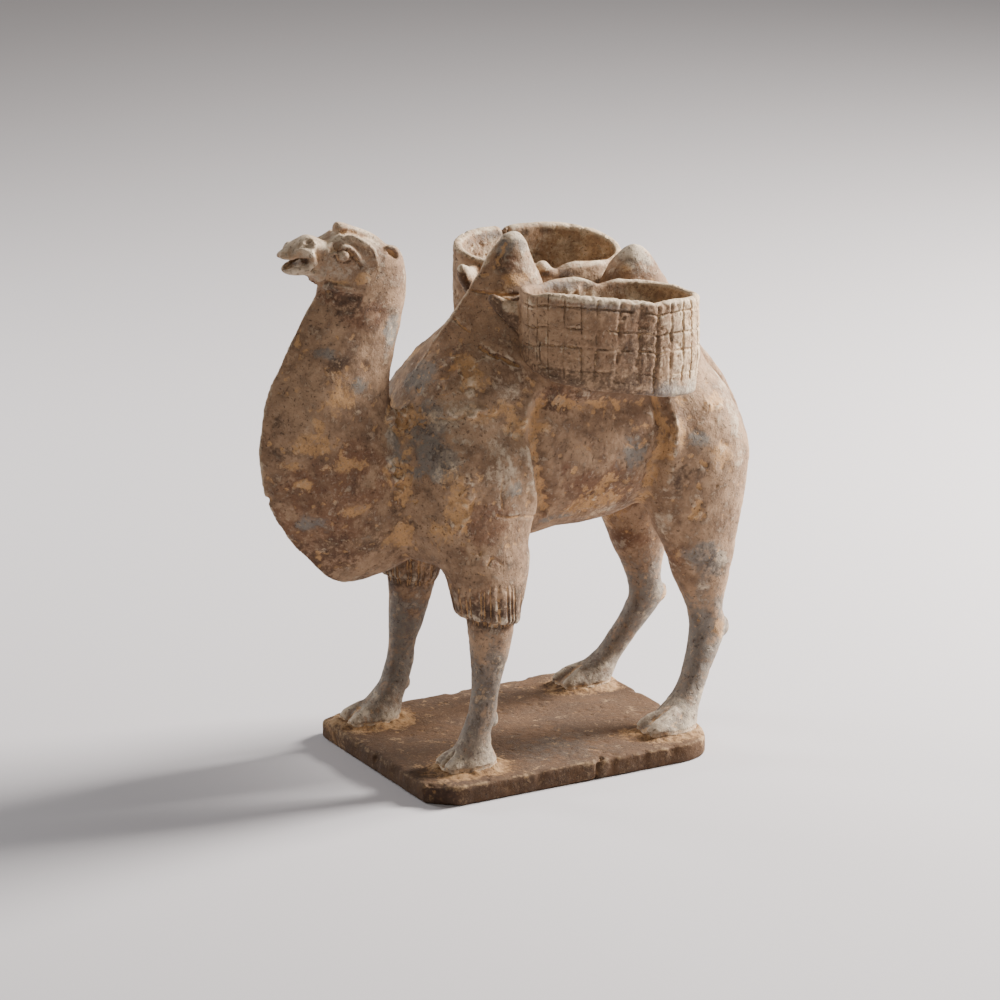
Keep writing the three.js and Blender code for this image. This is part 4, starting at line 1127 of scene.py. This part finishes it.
def pannier_stains_and_painted_light(piece, name):
    """Bluish grey low at the rear and under the rim, earth in the scores and pale worn edges with a painted
    highlight on them. Painted shade darkens the scores and folds, the insides low at the front, the middle
    of the outer wall and the underside of the horn; painted highlights lighten the rim, the inside of the
    basket, the rear end and the top of the horn.
    """
    basket = BASKETS[name]
    points, _, fold, form_edge = felt(piece)
    across, along = basket["lie"] * points[:, 0] - OUT, points[:, 1] - BEHIND
    depth = level(basket, across, along) - points[:, 2]
    within = fall(0.8, 0.9, np.hypot(across / basket["wide"], along / basket["long"])) * step(3, 6, depth)
    front = fall(-30, 5, along)
    rough = cloud(points, 9, 51) - 0.4
    blue_low, blue_top = bell((depth - 41, 5), (along - 22, 22)), bell((depth - 3, 3), (along + 14, 16))
    horn = step(29, 31, -along) * step(43.4, 43.8, np.hypot(1.3 * across, along))
    tip = step(46.5, 49, -along)
    upper = step(-1, 2, points[:, 2] - basket["rim"] + 12 + 0.3 * (along + 30.5))
    keep_stains_and_painted_light(piece, {
        "grey": 0.9 * blue_low + 0.7 * blue_top + 0.3 * rough,
        "ochre": 0.45 * step(0.04, 0.2, -fold) + 0.75 * step(12, 34, along) * fall(34, 38, depth)
        + 0.5 * rough + 0.1 * within,
        "dark": 1.1 * step(0.05, 0.2, -fold) + 1.2 * tip + 1.1 * horn * (1 - upper)
        + 0.6 * (cloud(points, 12, 52) - 0.4) + 0.75 * front * step(26, 36, depth)
        + 0.6 * bell((along - 2, 14)) * (1 - within),
        "pale": 0.35 * step(0.06, 0.2, fold) + 0.5 * step(0.6, 1.5, form_edge) * (1 - tip)
        + 0.7 * fall(0.5, 2.2, depth) + 0.6 * within + 0.8 * horn * (1 - tip) * upper
        + 0.5 * step(12, 26, along),
        "rust": 0.45 * bell((along - 4, 20)) * (1 - within) * step(3, 6, depth)
        + 0.3 * (cloud(points, 15, 53) - 0.4),
    })


# The dark, pale and rust tones give the painted shade and highlights as well as the stains
pannier_clay = earthenware(
    "pannier_earthenware", 0.0007, 0.9, clay=(166, 136, 107), second_clay=(122, 94, 71),
    grey=(126, 122, 118), ochre=(198, 158, 112), dark=(74, 58, 47), pale=(224, 204, 174), rust=(128, 90, 60),
)
for name in BASKETS:
    piece = pannier(name)
    pannier_stains_and_painted_light(piece, name)
    fired(piece, pannier_clay)
    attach(piece, "root")
    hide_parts(name)

# The slab: a plate of the same clay, cut to a rectangle with its corners taken off, a little warped
# and chipped along its edges. The feet are luted to it, and earth has caked round them.
OUTLINE = [  # x, y round the upper edge, from the front left corner, and how far each corner is rounded
    (47.4, -75, 1.5), (58.4, -63.4, 1.5), (59.3, 56, 3), (56, 66.5, 5), (44, 72.6, 4), (-34, 75, 4),
    (-50, 70, 6), (-57.7, 52, 6), (-57.7, -61, 2), (-52.6, -72, 2),
]
THICK, ROUNDING, SLAB_SPACING = 9, 1.2, 0.72
FRONT, REAR, LEFT, RIGHT = -75, 75, 59.3, -57.7  # the slab's edges
CHIPS = [  # x, y, reach, depth
    (52, -70, 5, 1.6), (49, -73, 4, 1.4), (59, 8, 2.4, 1.3), (59, 15, 3, 0.8), (59.5, -22, 4, 0.8),
    (59, 32, 3, 0.7), (59, 47, 4, 0.8), (20, -75, 5, 1.1), (2, -75, 4, 1.4), (-16, -75, 6, 1),
    (-38, -75, 4, 1.2), (-57, -40, 5, 1), (-57, 0, 6, 1.1), (-57, 35, 5, 0.9), (10, 74, 6, 1),
    (-15, 75, 5, 1.2), (35, 73.5, 4, 0.9),
]
SPLITS = [  # width, depth and line of the split in the left edge, along the top and down the side
    (0.7, 1.6, [(59.6, 8, 9), (57.6, 8.6, 9), (56.8, 10.4, 9), (55.8, 10.8, 9)]),
    (0.6, 1.2, [(59.6, 8, 9), (59.4, 7.4, 4), (59, 6.6, 0)]),
]
CRUST, CRUMBS = 0.9, 0.9  # heights of the earth round the feet and of the crumbs on it
SLAB_WIDE_RUBS = 40


def rounded_outline(corners, count=40):
    """The corners joined by straight runs, each corner replaced by a curve of that radius through
    (1 - t)^2 before + 2 t (1 - t) corner + t^2 after."""
    table = np.array(corners, float)
    place, radius = table[:, :2], table[:, 2:]
    before, after = np.roll(place, 1, 0) - place, np.roll(place, -1, 0) - place
    start = place + before / np.linalg.norm(before, axis=1)[:, None] * radius
    end = place + after / np.linalg.norm(after, axis=1)[:, None] * radius
    t = np.linspace(0, 1, 7)[None, :, None]
    bends = (1 - t) ** 2 * start[:, None] + 2 * t * (1 - t) * place[:, None] + t**2 * end[:, None]
    share = np.linspace(0, 1, count)[None, 1:-1, None]
    runs = bends[:, -1:] + share * (np.roll(start, -1, 0) - end)[:, None]
    return np.concatenate([bends, runs], 1).reshape(-1, 2)


def caked(points, wide, long, sway, low, high):
    """Earth caked round the feet, about 0 to 1: ovals of those half sizes with a ragged edge."""
    found = np.zeros(len(points))
    for lie, _, out, place in FEET.values():
        ring = np.hypot((points[:, 0] - lie * out) / wide, (points[:, 1] - place) / long)
        found = np.maximum(found, fall(low, high, ring + waver(points, 6, sway, 68)))
    return found


outline = rounded_outline(OUTLINE)
middle = outline.mean(0)
levels = [  # height, inset and share of the outline
    (0, 0.3, 0.02), (0, 0.3, 0.5), (0, 0.3, 0.985), (0, 0.8, 1), (ROUNDING, 0, 1), (THICK - ROUNDING, 0, 1),
    (THICK - 0.3, 0.5, 1), (THICK, 1.4, 1), (THICK, 1.4, 0.98), (THICK, 1.4, 0.5), (THICK, 1.4, 0.02),
]
rings = []
for high, inset, share in levels:
    plan = middle + (outline - middle) * (1 - inset / 60) * share
    rings.append(np.concatenate([plan, np.full((len(plan), 1), float(high))], 1))
slab = mesh_of("slab_clay", [skin(np.array(rings))])
run_together(slab, SLAB_SPACING)
points = rubbed(points_of(slab.data), edges_of(slab.data), times=2, share=0.5)
set_points(slab.data, points)
normals = normals_of(slab.data)
x, y, z = points.T
top = step(4, 8.6, z) * step(0.5, 0.9, normals[:, 2])
under = fall(0.2, 1, z)
rim_gap = np.min(np.stack([LEFT - x, x - RIGHT, y - FRONT, REAR - y]), 0)
side = fall(0, 2, rim_gap) * (1 - under)
height = top * (waver(points, 30, 1.2, 61) + waver(points, 9, 0.5, 62))
height += waver(points, 3, 0.35, 63) * (1 - under) * (1 - 0.7 * top)
height += side * ((cloud(points, 17, 64, 2) - 0.6) * 0.9 + waver(points, 3, 0.4, 65))
for cx, cy, reach, depth in CHIPS:
    gap = np.hypot(x - cx, y - cy) / reach + waver(points, 4, 0.8, 66)
    height -= 0.7 * depth * fall(0.3, 1, gap) * (1 - under) * (0.4 + 0.6 * step(3, 7, z))
for width, depth, line in SPLITS:
    height -= scored(points, line, width, depth)
height -= 0.4 * top * step(0.62, 0.8, cloud(points, 3, 67, 2)) * step(0.4, 0.6, cloud(points, 16, 70, 2))
crumbs = CRUMBS * step(0.35, 0.7, cloud(points, 4, 69, 2))
height += top * caked(points, 11.5, 15.5, 0.35, 0.92, 1.28) * (CRUST + crumbs)
points = points + normals * height[:, None]
points[:, 2] = np.where(under > 0.5, np.maximum(points[:, 2], 0), points[:, 2])
set_points(slab.data, points)
thin_out(slab)
points, normals, fold, form_edge = felt(slab, SLAB_WIDE_RUBS)
x, y, z = points.T
earth = caked(points, 12, 16, 0.5, 0.95, 1.8)
on_side = fall(0.3, 0.7, np.abs(normals[:, 2]))
corner = fall(0.6, 1.1, np.hypot(x - 53, y + 70) / 9) * on_side
keep_stains_and_painted_light(slab, {
    "grey": 0.8 * bell((x - 34, 18), (y + 2, 22)) + 0.5 * (cloud(points, 20, 71) - 0.4),
    "ochre": 0.8 * earth + 0.5 * step(0.05, 0.2, -fold) + 0.9 * (cloud(points, 22, 72) - 0.4) * (z > 7),
    "dark": 0.5 * on_side * (cloud(points, 12, 73) - 0.2) + 0.9 * corner
    + 0.35 * (cloud(points, 18, 74) - 0.4),
    "pale": 0.35 * earth + 0.2 * step(0.05, 0.25, fold) + 0.3 * step(0.3, 0.9, form_edge) * (z > 6),
    "rust": 0.9 * corner + 0.5 * on_side * (cloud(points, 30, 75) - 0.2)
    + 0.4 * (cloud(points, 24, 76) - 0.4),
})
fired(slab, earthenware(
    "slab_earthenware", 0.0004, 0.4, clay=(86, 62, 42), second_clay=(71, 52, 37), grey=(76, 66, 58),
    ochre=(150, 112, 72), dark=(60, 46, 38), pale=(176, 146, 108), rust=(86, 59, 45),
))
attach(slab, "root")
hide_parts("base")

# The studio, in metres: a plain pale floor, three soft square lights and the camera, which stands
# where the corners of the slab and the feet fall on the same places of the frame as in the picture.
FLOOR_REACH = 3
FLOOR_ROUGHNESS = 0.7
CAMERA_AT = Vector((1.848894, -1.086746, 0.755030))
BACKWARD = Vector((0.827975, -0.482665, 0.285468)).normalized()
RIGHTWARD = Vector((0.504, 0.864, 0)).normalized()
UPWARD = BACKWARD.cross(RIGHTWARD)
MIDDLE = Vector((0, 0, 0.12))
LAMPS = {  # places right, up and back from the figure's middle, power, size and colour
    "key": (1.05, 0.76, -0.3, 101, 0.4, (1, 0.965, 0.92)),
    "fill": (-0.3, 0.5, 1.3, 3.7, 0.8, (1, 0.95, 0.9)),
    "rim": (-0.9, 0.5, -0.45, 9, 0.35, (0.97, 0.98, 1)),
}
DAYLIGHT, DAYLIGHT_STRENGTH = (0.82, 0.79, 0.77, 1), 0.165

corners = [(-FLOOR_REACH, -FLOOR_REACH, 0), (FLOOR_REACH, -FLOOR_REACH, 0),
           (FLOOR_REACH, FLOOR_REACH, 0), (-FLOOR_REACH, FLOOR_REACH, 0)]
floor_mesh = bpy.data.meshes.new("floor")
floor_mesh.from_pydata(corners, [], [(0, 1, 2, 3)])
floor = bpy.data.objects.new("floor", floor_mesh)
bpy.context.scene.collection.objects.link(floor)
pale = bpy.data.materials.new("pale_floor")
pale.use_nodes = True
pale.node_tree.nodes["Principled BSDF"].inputs["Base Color"].default_value = tint(190, 186, 188)
pale.node_tree.nodes["Principled BSDF"].inputs["Roughness"].default_value = FLOOR_ROUGHNESS
floor.data.materials.append(pale)
lens = bpy.data.cameras.new("camera")
lens.lens = 180
lens.sensor_width = 36
lens.clip_end = 20
camera = bpy.data.objects.new("camera", lens)
turned = Matrix((RIGHTWARD, UPWARD, BACKWARD)).transposed().to_4x4()
camera.matrix_world = Matrix.Translation(CAMERA_AT) @ turned
bpy.context.scene.collection.objects.link(camera)
bpy.context.scene.camera = camera
for name, (right, up, back, power, size, colour) in LAMPS.items():
    light = bpy.data.lights.new(name, "AREA")
    light.energy = power
    light.size = size
    light.color = colour
    stand = bpy.data.objects.new(name, light)
    way = RIGHTWARD * right + UPWARD * up + BACKWARD * back
    stand.location = MIDDLE + way
    stand.rotation_euler = way.to_track_quat("Z", "Y").to_euler()
    bpy.context.scene.collection.objects.link(stand)
world = bpy.data.worlds.new("studio")
world.use_nodes = True
world.node_tree.nodes["Background"].inputs["Color"].default_value = DAYLIGHT
world.node_tree.nodes["Background"].inputs["Strength"].default_value = DAYLIGHT_STRENGTH
bpy.context.scene.world = world
